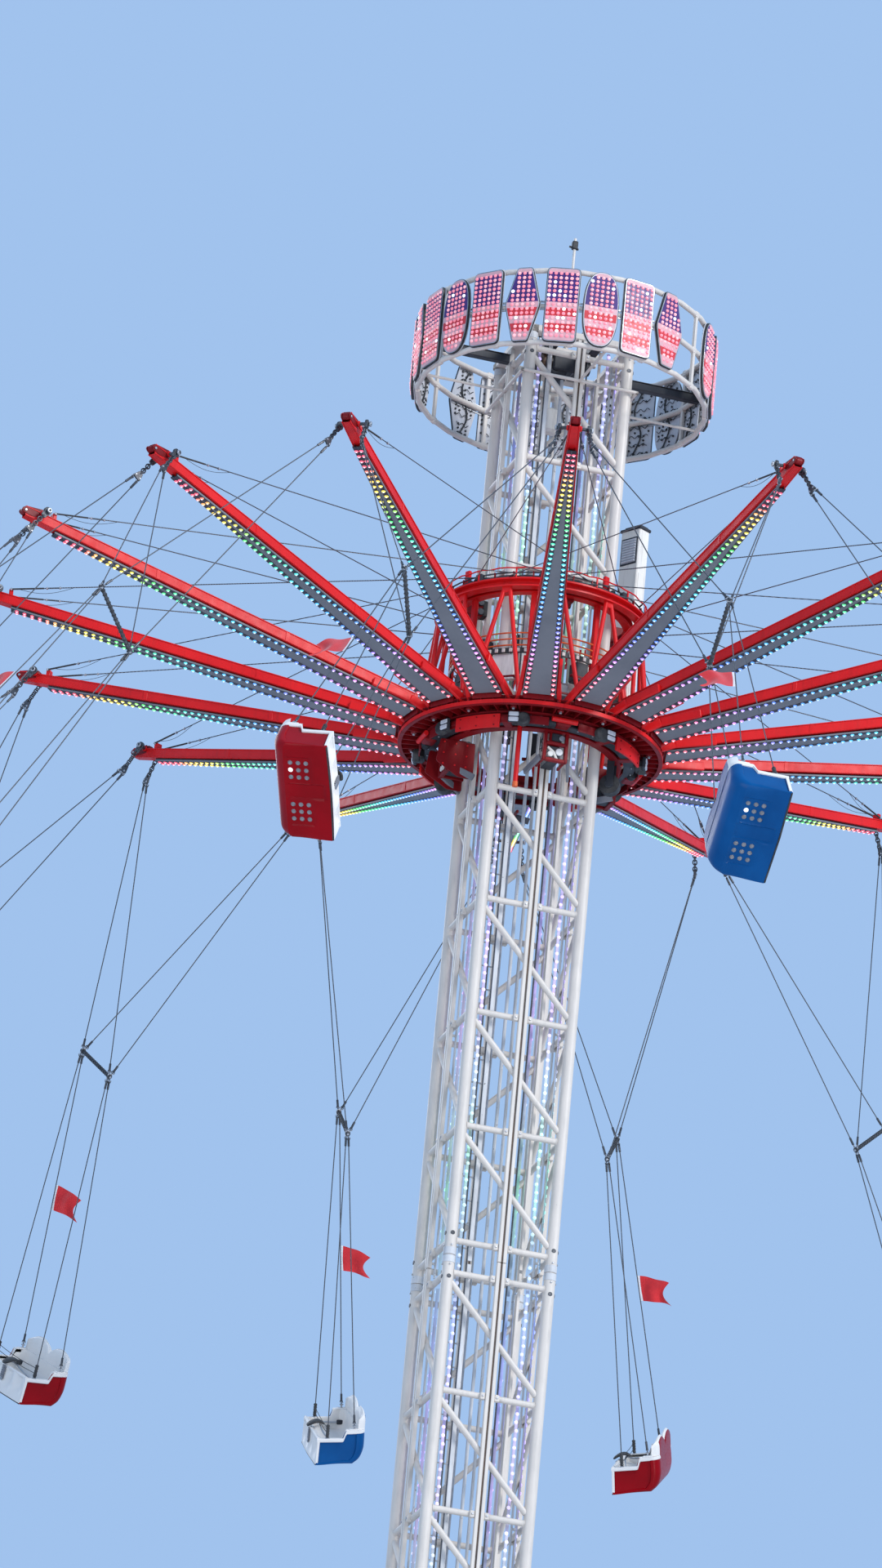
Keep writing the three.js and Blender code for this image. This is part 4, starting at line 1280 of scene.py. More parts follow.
def arm_head(shape):
    """The head at an arm's tip: cheeks, a round end, pins for two gondolas, and the stays' lug."""
    low, high = HINGE_LEVEL - 0.06, HINGE_LEVEL + 0.055
    cheek = [(6.62, low), (6.8, low), (6.9, low + 0.04), (6.91, high - 0.03), (6.85, high), (6.62, high)]
    before = shape.place
    # The cheeks and the round end are in the darker red of painted shade.
    for side in (-1, 1):
        shape.place = before @ shift(0, side * 0.05, 0) @ UPRIGHT
        shape.prism(rounded(cheek, 0.025), -0.008, 0.008, "red_dark", 0.004)
    shape.place = before
    shape.box((6.6, -0.045, low + 0.005), (6.74, 0.045, high - 0.005), "red_dark", 0.012)
    shape.box((6.5, -0.045, low - 0.03), (6.64, 0.045, low + 0.004), "dark_paint", 0.014)
    shape.disc((6.86, 0, HINGE_LEVEL), (0, 1, 0), 0.042, 0.042, "red_dark", 18, 0.01)
    shape.disc((6.86, 0, HINGE_LEVEL), (0, 1, 0), 0.016, 0.07, "galvanised", 10, 0.004)
    for side in (-1, 1):
        reach = side * (90 + ARM_STEP / 2)
        start = Vector((HINGE_OUT, 0, HINGE_LEVEL))
        end = start + polar(0.225, reach)
        shape.tube([start, end], 0.02, "steel", 14)
        direction = (end - start).normalized()
        shape.disc(end - direction * 0.012, direction, 0.032, 0.012, "galvanised", 14, 0.004)
        shape.disc(start + direction * 0.075, direction, 0.034, 0.014, "red", 14, 0.004)
    shape.box((STAY_LUG_OUT - 0.025, -0.05, low + 0.02), (STAY_LUG_OUT + 0.025, 0.05, high), "red", 0.008)
    for side in (-1, 1):
        pin = (STAY_LUG_OUT, side * 0.045, HINGE_LEVEL + 0.02 + side * 0.025)
        shape.disc(pin, (0, 1, 0), 0.016, 0.014, "galvanised", 10, 0.004)


def ring_quarter(shape):
    """A quarter of the turning ring: a channel ring inside, a bright band with fins outside. The channel,
    its lip, the deck and the fins are in the darker red of painted shade.
    """
    inner, outer, height = RING_INNER, RING_OUTER, RING_HEIGHT
    start, end = -ARM_STEP / 2 + 0.1, 90 - ARM_STEP / 2 - 0.1
    channel = [
        (inner, 0.0), (inner + 0.16, 0.0), (inner + 0.16, 0.018), (inner + 0.05, 0.022),
        (inner + 0.05, height - 0.022),
        (inner + 0.16, height - 0.018), (inner + 0.16, height), (inner, height),
    ]
    shape.lathe(channel, "red_dark", 16, start, end)
    shape.lathe([(outer - 0.014, 0.016), (outer, 0.016), (outer, 0.064), (outer - 0.014, 0.064)], "red",
                16, start, end)
    shape.lathe([(outer - 0.05, 0.008), (outer - 0.003, 0.008), (outer - 0.003, 0.02),
                 (outer - 0.05, 0.02)], "red_dark", 16, start, end)
    deck = [(inner + 0.02, height - 0.012), (outer - 0.01, height - 0.012), (outer - 0.01, height),
            (inner + 0.02, height)]
    shape.lathe(deck, "red_dark", 16, start, end)
    tube = [polar(inner + 0.01, between(start, end, i / 16), -0.012) for i in range(17)]
    shape.tube(tube, 0.024, "dark_paint", 8)
    for step in range(16):
        shape.place = turn(-ARM_STEP / 2 + (step + 0.5) * ARM_STEP / 4)
        shape.box((inner + 0.14, -0.006, 0.012), (outer - 0.01, 0.006, height - 0.008), "red_dark", 0.002)
        shape.disc((inner + 0.09, 0, -0.004), (0, 0, 1), 0.011, 0.007, "steel", 6, 0.002)
    shape.place = Matrix.Identity(4)


def arm_root(shape):
    """An arm's root on the ring: end plate, web plates, and the forks that reach to the pins."""
    outer = RING_OUTER
    # The end plate and web plates are in the darker red of painted shade.
    shape.box((outer - 0.17, -0.19, 0.185), (outer + 0.03, 0.19, 0.3), "red_dark", 0.008)
    shape.box((outer - 0.02, -0.185, 0.085), (outer - 0.002, 0.185, 0.2), "red_dark", 0.003)
    for y in (-0.12, 0.0, 0.12):
        shape.box((outer - 0.17, y - 0.008, 0.1), (outer, y + 0.008, 0.2), "red_dark", 0.002)
    for side in (-1, 1):
        pin = polar(PIN_OUT, side * (ARM_STEP / 2 - 0.9), 0.1)
        heel = Vector((outer + 0.12, side * 0.225, 0.235))
        shape.beam(heel, pin, 0.05, 0.1, "red", 0.008)
        shape.beam(heel + Vector((0.5, side * -0.012, 0.1)), heel, 0.045, 0.1, "red", 0.008)
        for x in (-0.12, -0.04):
            shape.disc((outer + x, side * 0.195, 0.25), (0, 1, 0), 0.014, 0.01, "galvanised", 6, 0.003)


def arm_quarter():
    shape = Shape()
    ring_quarter(shape)
    for step in range(4):
        shape.place = turn(step * ARM_STEP)
        arm_root(shape)
        arm(shape)
        shape.place = turn((step + 0.5) * ARM_STEP)
        shape.disc((PIN_OUT - 0.01, 0, 0.09), (0, 0, 1), 0.04, 0.075, "red_dark", 14, 0.006)
        shape.disc((PIN_OUT - 0.01, 0, 0.008), (0, 0, 1), 0.018, 0.014, "galvanised", 8, 0.003)
    return shape.mesh("arm_quarter_mesh")


def upper_ring():
    """Hoop over the star on twelve pairs of leaning struts, with pipes, posts and boxes on top."""
    shape = Shape()
    inner, outer, level, height = UPPER_RING
    profile = [
        (inner, level), (outer, level), (outer, level + 0.018), (inner + 0.045, level + 0.02),
        (inner + 0.045, level + height - 0.02), (outer, level + height - 0.018), (outer, level + height),
        (inner, level + height),
    ]
    shape.lathe(profile, "red", 72)
    for pair in range(12):
        apex = 15 + 30 * pair
        for side in (-1, 1):
            top = polar(1.25, apex + side * 1.4, level + 0.02)
            foot = polar(1.43, apex + side * 13.3, 0.14)
            shape.tube([top, foot], 0.028, "red", 12)
            shape.disc(foot, (0, 0, 1), 0.055, 0.012, "red_dark", 14, 0.004)
        outward = polar(1.0, apex)
        shape.disc(polar(1.265, apex, level - 0.015), outward, 0.06, 0.014, "red", 14, 0.004)
    top = level + height
    for radius, z, size, finish in ((1.205, 0.03, 0.012, "cable"), (1.225, 0.055, 0.009, "cable"),
                                    (1.3, 0.13, 0.009, "red")):
        path = [polar(radius + 0.006 * math.sin(i * 1.7), 5 * i,
                      top + z + 0.008 * math.sin(i * 2.3)) for i in range(72)]
        shape.tube(path, size, finish, 6, closed=True)
    for post in range(16):
        shape.place = turn(22.5 * post + 5)
        shape.box((1.285, -0.01, top - 0.01), (1.305, 0.01, top + 0.14), "red", 0.004)
    for box in range(8):
        shape.place = turn(45 * box + 20)
        shape.box((1.2, 0.1, top - 0.005), (1.28, 0.2, top + 0.11), "dark_paint", 0.015)
        shape.box((1.2, -0.06, top - 0.005), (1.25, 0.0, top + 0.08), "dark_paint", 0.012)
        if box % 2 == 0:
            shape.box((1.16, -0.16, top - 0.005), (1.21, -0.08, top + 0.24), "red", 0.01)
    return shape.mesh("upper_ring_mesh")


def stay_lines():
    """Ends of every stay: from the lug at an arm's tip to the clamp ring, two arms along."""
    level = UPPER_RING[2] + UPPER_RING[3] + 0.061
    lines = []
    for i in range(ARMS):
        for side in (-1, 1):
            lug = Vector((STAY_LUG_OUT, side * 0.06, HINGE_LEVEL + 0.02 + side * 0.025))
            end = polar(1.25, (i + 2 * side) * ARM_STEP, level + side * 0.025)
            lines.append((turn(i * ARM_STEP) @ lug, end))
    return lines


def stay_ropes():
    """Stays: black rod, rigging screw and rope, from the tip to the clamp ring, with thin safety lines."""
    shape = Shape()
    low = UPPER_RING[2] + UPPER_RING[3] + 0.001
    clamp = [(1.21, low), (1.29, low), (1.29, low + 0.012), (1.21, low + 0.012)]
    shape.lathe(clamp, "red", 64)
    for z in (0.036, 0.086):
        shape.tube([polar(1.25, 5.625 * i, low + z) for i in range(64)], 0.01, "steel", 8, closed=True)
    for step in range(32):
        shape.place = turn(11.25 * step + 3)
        shape.box((1.235, -0.008, low), (1.265, 0.008, low + 0.1), "red_dark", 0.003)
    shape.place = Matrix.Identity(4)
    for start, end in stay_lines():
        along = (end - start).normalized()
        shape.tube([start, start + along * 0.4], 0.011, "rubber", 8)
        shape.tube([start + along * 0.38, end], STAY_RADIUS * 0.55, "rope", 6)
        turnbuckle(shape, start + along * 0.44, along)
        shape.tube([end - along * 0.12, end], 0.011, "steel", 8)
        shape.disc(start, along, 0.018, 0.012, "galvanised", 10, 0.004)
        loop = []
        for k in range(11):
            sag = Vector((0, 0, 0.07 * math.sin(math.pi * k / 10)))
            loop.append(start + along * (0.08 + 0.07 * k) - sag)
        shape.tube(loop, 0.003, "cable", 5)
    return shape.mesh("stay_ropes_mesh")


def turnbuckle(shape, at, along):
    """A rigging screw: two threaded ends in an open body."""
    side = along.orthogonal().normalized() * 0.012
    for s in (-1, 1):
        shape.tube([at + side * s, at + along * 0.16 + side * s], 0.005, "steel", 6)
    for step in (0.0, 0.16):
        shape.disc(at + along * step, along, 0.017, 0.012, "galvanised", 8, 0.004)


def control_cabinet():
    """A tall white cabinet with doors, a louvre, a dark roof and its bracket."""
    shape = Shape()
    floor, roof = 0.35, 3.545
    inner, outer, half = 1.46, 1.64, 0.155
    shape.place = turn(ARM_STEP)
    shape.box((inner, -half, floor + 0.06), (outer, half, roof), "cabinet", 0.012)
    shape.box((inner + 0.04, -0.1, floor), (outer, 0.1, floor + 0.07), "red", 0.01)
    shape.box((inner - 0.012, -half - 0.018, roof - 0.02), (outer + 0.012, half + 0.018, roof + 0.02),
              "dark_paint", 0.01)
    shape.box((inner + 0.03, -0.13, roof + 0.02), (outer, 0.13, roof + 0.055), "dark_paint", 0.01)
    seams = [floor + 0.1, floor + 1.15, floor + 2.2, roof - 0.6]
    for low, high in zip(seams, seams[1:]):
        shape.box((outer - 0.002, -half + 0.02, low + 0.01), (outer + 0.008, half - 0.02, high - 0.01),
                  "cabinet", 0.004)
        for side in (-1, 1):
            near, far = sorted((side * (half - 0.001), side * (half + 0.006)))
            shape.box((inner + 0.03, near, low + 0.01), (outer - 0.03, far, high - 0.01), "cabinet", 0.003)
        shape.disc((outer + 0.012, -half + 0.04, (low + high) / 2), (0, 0, 1), 0.01, 0.05, "galvanised",
                   8, 0.003)
    louvre(shape, inner, roof - 0.46)
    return shape.mesh("control_cabinet_mesh")


def louvre(shape, inner, low):
    """A grey slatted grille in a dark frame, on the cabinet's face toward the mast."""
    tall, slats = 0.32, 9
    shape.box((inner - 0.008, -0.13, low - 0.02), (inner + 0.002, 0.13, low + tall + 0.02), "dark_paint",
              0.003)
    shape.box((inner - 0.014, -0.115, low), (inner - 0.004, 0.115, low + tall), "galvanised", 0.003)
    for slat in range(slats):
        z = low + 0.02 + slat * (tall - 0.04) / (slats - 1)
        shape.box((inner - 0.022, -0.105, z - 0.008), (inner - 0.012, 0.105, z + 0.01), "panel_back", 0.002)


# Suspension and gondola. The ropes' own origin is the middle of their hinge line


def swing_place(i):
    """Where gondola i's ropes hang from, turned outwards as far as the spreader."""
    spoke = turn(STAR_TURN + (i + 0.5) * ARM_STEP)
    out = HINGE_OUT * math.cos(math.radians(ARM_STEP / 2))
    return shift(0, 0, STAR_LEVEL) @ spoke @ shift(out, 0, HINGE_LEVEL) @ tip(-SWING, "Y")


def hang_turn(hang):
    """The turn of a gondola below its spreader, from its lean and its lag."""
    return tip(SWING - hang[0], "Y") @ tip(-hang[1], "X")


def hang_place(i, hang):
    """Where gondola i is, with its origin on the middle of its underside."""
    return swing_place(i) @ shift(0, 0, -SPREADER_DROP) @ hang_turn(hang) @ shift(0, 0, -CAR_BELOW)


def shackle(shape, at, along, size=0.03):
    """A bow shackle with its pin."""
    at, along = Vector(at), Vector(along).normalized()
    side = along.orthogonal().normalized()
    bow = []
    for step in range(9):
        angle = math.pi * step / 8
        bow.append(at + side * math.cos(angle) * size + along * math.sin(angle) * size * 1.6)
    shape.tube(bow, size * 0.24, "steel", 6)
    shape.disc(at, side, size * 0.3, size * 1.35, "galvanised", 8, 0.002)


def rope_ends(hang):
    """Both ends of the four ropes below a spreader, the outer back one last."""
    middle = Vector((0, 0, -SPREADER_DROP))
    ends = []
    for side in (-1, 1):
        for rim in (FRONT_ROPE, BACK_ROPE):
            start = middle + Vector((side * SPREADER_HALF, math.copysign(0.015, rim[1]), -0.02))
            foot = Vector((side * rim[0], rim[1], rim[2] - CAR_BELOW + 0.0017))
            ends.append((start, middle + hang_turn(hang) @ foot))
    return ends


def suspension(hang):
    """Two ropes from each pin to a spreader bar, and four from the bar to the gondola's rims."""
    shape = Shape()
    yoke_at = HINGE_OUT * math.sin(math.radians(ARM_STEP / 2)) - 0.17
    middle = Vector((0, 0, -SPREADER_DROP))
    for end in (-1, 1):
        hanger(shape, end * yoke_at)
    spreader(shape, middle)
    for side in (-1, 1):
        for end in (-1, 1):
            yoke = Vector((side * 0.034, end * yoke_at, -0.38))
            rope_line(shape, yoke, middle + Vector((side * SPREADER_HALF, end * 0.015, 0.02)))
    for i, (start, foot) in enumerate(rope_ends(hang)):
        rope_line(shape, start, foot)
        if i % 2 == 0:
            sleeve(shape, foot, (start - foot).normalized())
    return shape.mesh("suspension_mesh")


def sleeve(shape, foot, along):
    """The ribbed rubber sleeve on a front rope's end."""
    shape.tube([foot + along * 0.015, foot + along * 0.18], 0.02, "rubber", 12)
    for step in range(5):
        shape.disc(foot + along * (0.03 + 0.034 * step), along, 0.024, 0.008, "rubber", 12, 0.003)


def rope_line(shape, start, end):
    """A wire rope with swaged ends and shackles."""
    along = (end - start).normalized()
    shape.tube([start, end], ROPE_RADIUS, "rope", 8)
    for at, direction in ((start, along), (end, -along)):
        shape.tube([at + direction * 0.05, at + direction * 0.15], 0.015, "steel", 8)
        shackle(shape, at + direction * 0.035, direction, 0.022)


def chain_link(shape, y, z, half, crosswise):
    """One oval link of a chain that hangs down Z."""
    path = []
    for step in range(16):
        angle = 2 * math.pi * step / 16
        wide = 0.026 * math.cos(angle)
        x, dy = (0, wide) if crosswise else (wide, 0)
        path.append((x, y + dy, z + half * math.sin(angle)))
    shape.tube(path, 0.0085, "steel", 6, closed=True)


def hanger(shape, y):
    """What hangs from one pin: an eye, a short chain, and the yoke that carries two ropes."""
    shape.disc((0, y, 0), (0, 1, 0), 0.052, 0.018, "steel", 18, 0.005)
    shape.place = shift(0, y, 0) @ UPRIGHT
    eye = rounded([(-0.035, -0.1), (0.035, -0.1), (0.045, 0.03), (-0.045, 0.03)], 0.02)
    shape.prism(eye, -0.012, 0.012, "steel", 0.003)
    yoke = rounded([(-0.058, -0.405), (0.058, -0.405), (0.03, -0.3), (-0.03, -0.3)], 0.015)
    shape.prism(yoke, -0.014, 0.014, "steel", 0.003)
    shape.place = Matrix.Identity(4)
    for step in range(5):
        chain_link(shape, y, -0.115 - 0.046 * step, 0.036, step % 2 == 0)
    for x in (-0.034, 0.034):
        shape.disc((x, y, -0.375), (0, 1, 0), 0.013, 0.022, "galvanised", 8, 0.003)


def spreader(shape, middle):
    """The ribbed bar that holds the ropes apart, with a clamp for six ropes at each end."""
    reach = SPREADER_HALF + 0.03
    shape.tube([middle + Vector((x, 0, 0)) for x in (-reach, reach)], 0.022, "steel", 12)
    for step in range(15):
        x = between(-SPREADER_HALF + 0.05, SPREADER_HALF - 0.05, step / 14)
        shape.disc(middle + Vector((x, 0, 0)), (1, 0, 0), 0.028, 0.008, "rubber", 12, 0.003)
    for side in (-1, 1):
        at = middle + Vector((side * SPREADER_HALF, 0, 0))
        shape.disc(at, (1, 0, 0), 0.034, 0.022, "steel", 14, 0.006)
        shape.box(at + Vector((-0.01, -0.03, -0.04)), at + Vector((0.01, 0.03, 0.04)), "galvanised", 0.004)
        shape.disc(at + Vector((side * 0.03, 0, 0)), (1, 0, 0), 0.016, 0.01, "galvanised", 6, 0.003)


def rounding(x):
    """How far the hull's rounding has gone at one place across it, 0 to 1."""
    near = min(1.0, max(0.0, (abs(x) - CAR_HALF + ROUNDING) / ROUNDING))
    return 1 - math.sqrt(1 - near * near)


def drawn_in(point):
    """A point of the hull, moved in for the rounding of its back corners and bottom."""
    x, y, z = point
    low = 1 - smooth_step(0.0, 0.34, z)
    rearward = 1 - smooth_step(-0.08, 0.3, y)
    back = min(1.0, max(0.0, (-0.05 - y) / 0.28))
    share = rounding(x)
    return Vector((x, y + BACK_SHIFT * share * back, z + BOTTOM_LIFT * share * low * rearward))


def smooth_step(low, high, value):
    """0 below the low value, 1 above the high one, and an even curve between."""
    share = min(1.0, max(0.0, (value - low) / (high - low)))
    return share * share * (3 - 2 * share)


def window(low, high, ramp, value):
    """1 between two values, falling to 0 over a short ramp outside them."""
    return smooth_step(low - ramp, low, value) * (1 - smooth_step(high, high + ramp, value))


def bottom_relief(x, y):
    """How far the underside is pressed in: two lamp panels and a valley between the seats."""
    panel = window(LAMPS_OUT - 0.15, LAMPS_OUT + 0.15, 0.012, abs(x)) * window(-0.15, 0.12, 0.015, y)
    valley = window(-0.075, 0.075, 0.03, x) * window(-0.14, 0.24, 0.04, y)
    return panel * 0.018 + valley * 0.026


def front_relief(x, share):
    """How the front panel swells, less its leg flutes, from its foot (0) to its rim (1)."""
    flute = abs(math.sin(math.pi * (x + 0.56) / 0.28)) if abs(x) < 0.56 else 0
    swell = 0.016 * (1 - (x / CAR_HALF) ** 2)
    depth = flute ** 1.5 * FLUTE_DEPTH * smooth_step(0.05, 0.6, share)
    return swell - depth * (1 - smooth_step(0.86, 1.0, share))


def hull_ring(x, shrink):
    """The hull's side outline at one place across it, with its reliefs."""
    ring = []
    corners = inset(list(HULL_OUTLINE), shrink) if shrink else HULL_OUTLINE
    front_low, front_high = Vector(corners[0]), Vector(corners[1])
    for i in range(FRONT_STEPS + 1):
        share = i / FRONT_STEPS
        y, z = between(front_low, front_high, share)
        ring.append(Vector((x, y + front_relief(x, share), z)))
    ring.extend(Vector((x, y, z)) for y, z in corners[2:5])
    back = smooth_path([Vector((y, z)) for y, z in corners[4:9]], 5)
    ring.extend(Vector((x, y, z)) for y, z in back[1:])
    bottom_start, bottom_end = Vector(corners[8]), Vector(corners[9])
    for i in range(1, BOTTOM_STEPS + 1):
        y, z = between(bottom_start, bottom_end, i / BOTTOM_STEPS)
        ring.append(Vector((x, y, z + bottom_relief(x, y))))
    return [drawn_in(point) for point in ring]


def smooth_path(points, steps):
    """A smooth curve through points, with a number of steps between each."""
    made = []
    count = len(points)
    for i in range(count - 1):
        a, b = points[max(i - 1, 0)], points[i]
        c, d = points[i + 1], points[min(i + 2, count - 1)]
        for step in range(steps):
            t = step / steps
            bend = (2 * a - 5 * b + 4 * c - d) * t * t
            twist = (3 * b - a - 3 * c + d) * t ** 3
            made.append(0.5 * (2 * b + (c - a) * t + bend + twist))
    made.append(points[-1])
    return made


def hull(shape, colour):
    """The coloured shell: flutes in front, rounded back and sides, lamp panels below."""
    flat = CAR_HALF - ROUNDING
    middle = [flat * (2 * i / 60 - 1) for i in range(61)]
    curve = [flat + ROUNDING * math.sin(math.pi / 2 * i / 7) for i in range(1, 7)] + [CAR_HALF - 0.0015]
    stations = [(-x, 0.0) for x in reversed(curve)] + [(x, 0.0) for x in middle + curve]
    stations = [(-CAR_HALF, 0.006)] + stations + [(CAR_HALF, 0.006)]
    rows = [hull_ring(x, s) for x, s in stations]

    def finish(row, column):
        return "shell_white" if column < FRONT_STEPS + 3 else colour

    shape.grid(rows, finish, closed=True)
    for row, flip in ((rows[0], True), (rows[-1], False)):
        side_panel(shape, row, Vector((row[0].x, 0.02, 0.24)), colour, flip)


def side_panel(shape, ring, middle, colour, flip):
    """A pressed-in panel that closes one side of the hull."""
    toward = 1 if middle.x < 0 else -1
    levels = [ring]
    for share, depth in ((0.05, 0.0), (0.09, 0.016), (0.6, 0.018)):
        levels.append([between(p, middle, share) + Vector((toward * depth, 0, 0)) for p in ring])
    shape.grid(levels, colour, flip=flip, closed=True)
    inner = levels[-1]
    centre = middle + Vector((toward * 0.018, 0, 0))
    count = len(inner)
    faces = [[i, (i + 1) % count, count] for i in range(count)]
    shape.add(inner + [centre], [face[::-1] for face in faces] if flip else faces, colour)


def seat_cutter():
    """The space of the two seats, to be cut out of the hull."""
    outline = [
        (0.25, 0.7), (0.245, 0.27), (0.2, 0.235), (-0.12, 0.19), (-0.19, 0.215), (-0.225, 0.29),
        (-0.262, 0.7),
    ]
    sides = rounded(outline[::-1], 0.025, 3)
    steps = 24
    points = []
    for step in range(steps + 1):
        x = 1.04 * (step / steps - 0.5)
        forward = BACK_SHIFT * rounding(abs(x) + 0.058)
        points.extend(Vector((x, y + forward * smooth_step(0.02, 0.25, -y), z)) for y, z in sides)
    shape = Shape()
    shape.add(points, ring_faces(steps + 1, len(sides)), "shell_white")
    return shape


def back_rest(shape, colour):
    """Two headrests on one back, white in front and coloured behind, dished for the riders."""
    across, up, half = 60, 14, 0.56
    front, back = [], []
    for i in range(up + 1):
        v = i / up
        front_row, back_row = [], []
        for j in range(across + 1):
            x = half * (2 * j / across - 1)
            bump = math.cos((abs(x) - 0.285) / 0.285 * math.pi / 2)
            top = HEADREST_LOW + HEADREST_RISE * max(0.0, bump) ** 0.55
            edge = math.sqrt(max(0.0, 1 - v ** 6)) * math.sqrt(max(0.0, 1 - (abs(x) / half) ** 14))
            dish = 0.02 * max(0.0, 1 - ((abs(x) - 0.285) / 0.24) ** 2) * (1 - v * 0.6)
            wrap = BACK_SHIFT * rounding(x * 1.02)
            front_row.append(Vector((x, wrap + 0.045 * edge - dish, top * v)))
            back_row.append(Vector((x, wrap - 0.045 * edge, top * v)))
        front.append(front_row)
        back.append(back_row)

    def finish(row, column):
        return colour if 3 < column < across - 4 and row < up - 1 else "shell_white"

    shape.place = shift(0, -0.29, 0.42) @ tip(4, "X")
    shape.grid(front, "shell_white")
    shape.grid(back, finish, flip=True)
    shape.grid([[a, b] for a, b in zip(front[-1], back[-1])], "shell_white")
    for column in (0, -1):
        shape.grid([[a[column], b[column]] for a, b in zip(front, back)], "shell_white", flip=column == 0)
    shape.place = Matrix.Identity(4)


def rim_stations():
    """Plan, outward way and levels of the rim, from the front of one side round to the back."""
    made = []
    for y, low, high in ((0.306, 0.303, 0.352), (0.27, 0.303, 0.352), (-0.025, 0.303, 0.352),
                         (-0.04, 0.308, 0.36), (-0.055, 0.345, 0.4), (-0.07, 0.385, 0.45),
                         (-0.085, 0.408, 0.466)):
        made.append((Vector((CAR_HALF, y, 0)), Vector((1, 0, 0)), low, high))
    for step in range(9):
        angle = math.pi / 2 * step / 8
        x = CAR_HALF - ROUNDING * (1 - math.cos(angle))
        y = -0.33 + BACK_SHIFT * (1 - math.sin(angle))
        outward = Vector((math.cos(angle) / ROUNDING, -math.sin(angle) / BACK_SHIFT, 0)).normalized()
        made.append((Vector((x, y, 0)), outward, 0.412, 0.468))
    made.append((Vector((0.38, -0.33, 0)), Vector((0, -1, 0)), 0.43, 0.468))
    return made


def rim(shape):
    """The white moulding along the top of each side and round the back corners, and the front lip."""
    edge = 0.01
    for side in (-1, 1):
        rows = []
        for at, outward, low, high in rim_stations():
            section = [(0.005, low + edge), (0.005, high - edge), (0.005 - edge, high), (edge - 0.06, high),
                       (-0.06, high - edge), (-0.06, low + edge), (edge - 0.06, low), (0.005 - edge, low)]
            ring = [at + outward * out + Vector((0, 0, z)) for out, z in section]
            rows.append([Vector((side * p.x, p.y, p.z)) for p in ring])
        shape.grid(rows, "shell_white", flip=side < 0, closed=True)
        for row, flip in ((rows[0], side > 0), (rows[-1], side < 0)):
            faces = list(range(len(row)))
            shape.add(row, [faces[::-1] if flip else faces], "shell_white")
        low, high = (side * (CAR_HALF - 0.002), 0.306, 0.03), (side * (CAR_HALF - 0.002), 0.286, 0.31)
        shape.beam(low, high, 0.034, 0.014, "shell_white", 0.005, up=(1, 0, 0))
        shape.box((side * 0.545 - 0.04, -0.25, 0.46), (side * 0.545 + 0.04, -0.12, 0.476), "shell_white",
                  0.012)
    shape.tube([(-0.565, 0.286, 0.35), (0, 0.296, 0.352), (0.565, 0.286, 0.35)], 0.018, "shell_white", 12)
    shape.tube([(-0.57, 0.318, 0.008), (0, 0.332, 0.008), (0.57, 0.318, 0.008)], 0.011, "rubber", 8)


def gondola_lamps(shape):
    """Nine lamps under each seat."""
    for side in (-1, 1):
        for row in range(3):
            for column in range(3):
                x = side * LAMPS_OUT + (column - 1) * LAMP_PITCH
                y = LAMPS_BACK + (row - 1) * LAMP_PITCH
                lit = (side, row, column) == (1, 0, 1)
                shape.dome((x, y, 0.018), (0, 0, -1), 0.027, 0.016, "bulb_white" if lit else "bulb_off", 12)


def lap_gear(shape):
    """Lap bar across the seats, its side arms, the buckle strap, two thin lines and the ropes' seats."""
    corners = ((-0.49, 0.08, 0.3), (-0.3, 0.16, 0.33), (0, 0.19, 0.4), (0.3, 0.16, 0.33), (0.49, 0.08, 0.3))
    shape.tube(smooth_path([Vector(p) for p in corners], 6), 0.011, "galvanised", 10)
    for side in (-1, 1):
        shape.tube([(side * 0.49, 0.08, 0.3), (side * 0.495, -0.05, 0.29), (side * 0.5, -0.15, 0.29)],
                   0.011, "galvanised", 8)
        shape.box((side * 0.5 - 0.02, -0.2, 0.26), (side * 0.5 + 0.02, -0.12, 0.32), "dark_paint", 0.008)
    for step in range(6):
        start = Vector((0, 0.324 + 0.002 * step, 0.355 - 0.03 * step))
        shape.box(start + Vector((-0.045, -0.006, -0.026)), start + Vector((0.045, 0.006, 0)),
                  "panel_grey", 0.004)
    shape.box((-0.03, 0.327, 0.16), (0.03, 0.346, 0.2), "galvanised", 0.006)
    x, y, z = FRONT_ROPE
    for rise in (0.07, 0.14):
        path = []
        for i in range(11):
            path.append(Vector((x * (i / 5 - 1), y, z + rise - 0.02 * math.sin(math.pi * i / 10))))
        shape.tube(path, 0.0045, "cable", 5)
    for x, y, z in (FRONT_ROPE, BACK_ROPE):
        for side in (-1, 1):
            shape.disc((side * x, y, z + 0.006), (0, 0, 1), 0.028, 0.006, "galvanised", 14, 0.003)
            shape.tube([(side * x, y, z - 0.05), (side * x, y, z + 0.004)], 0.012, "galvanised", 10)


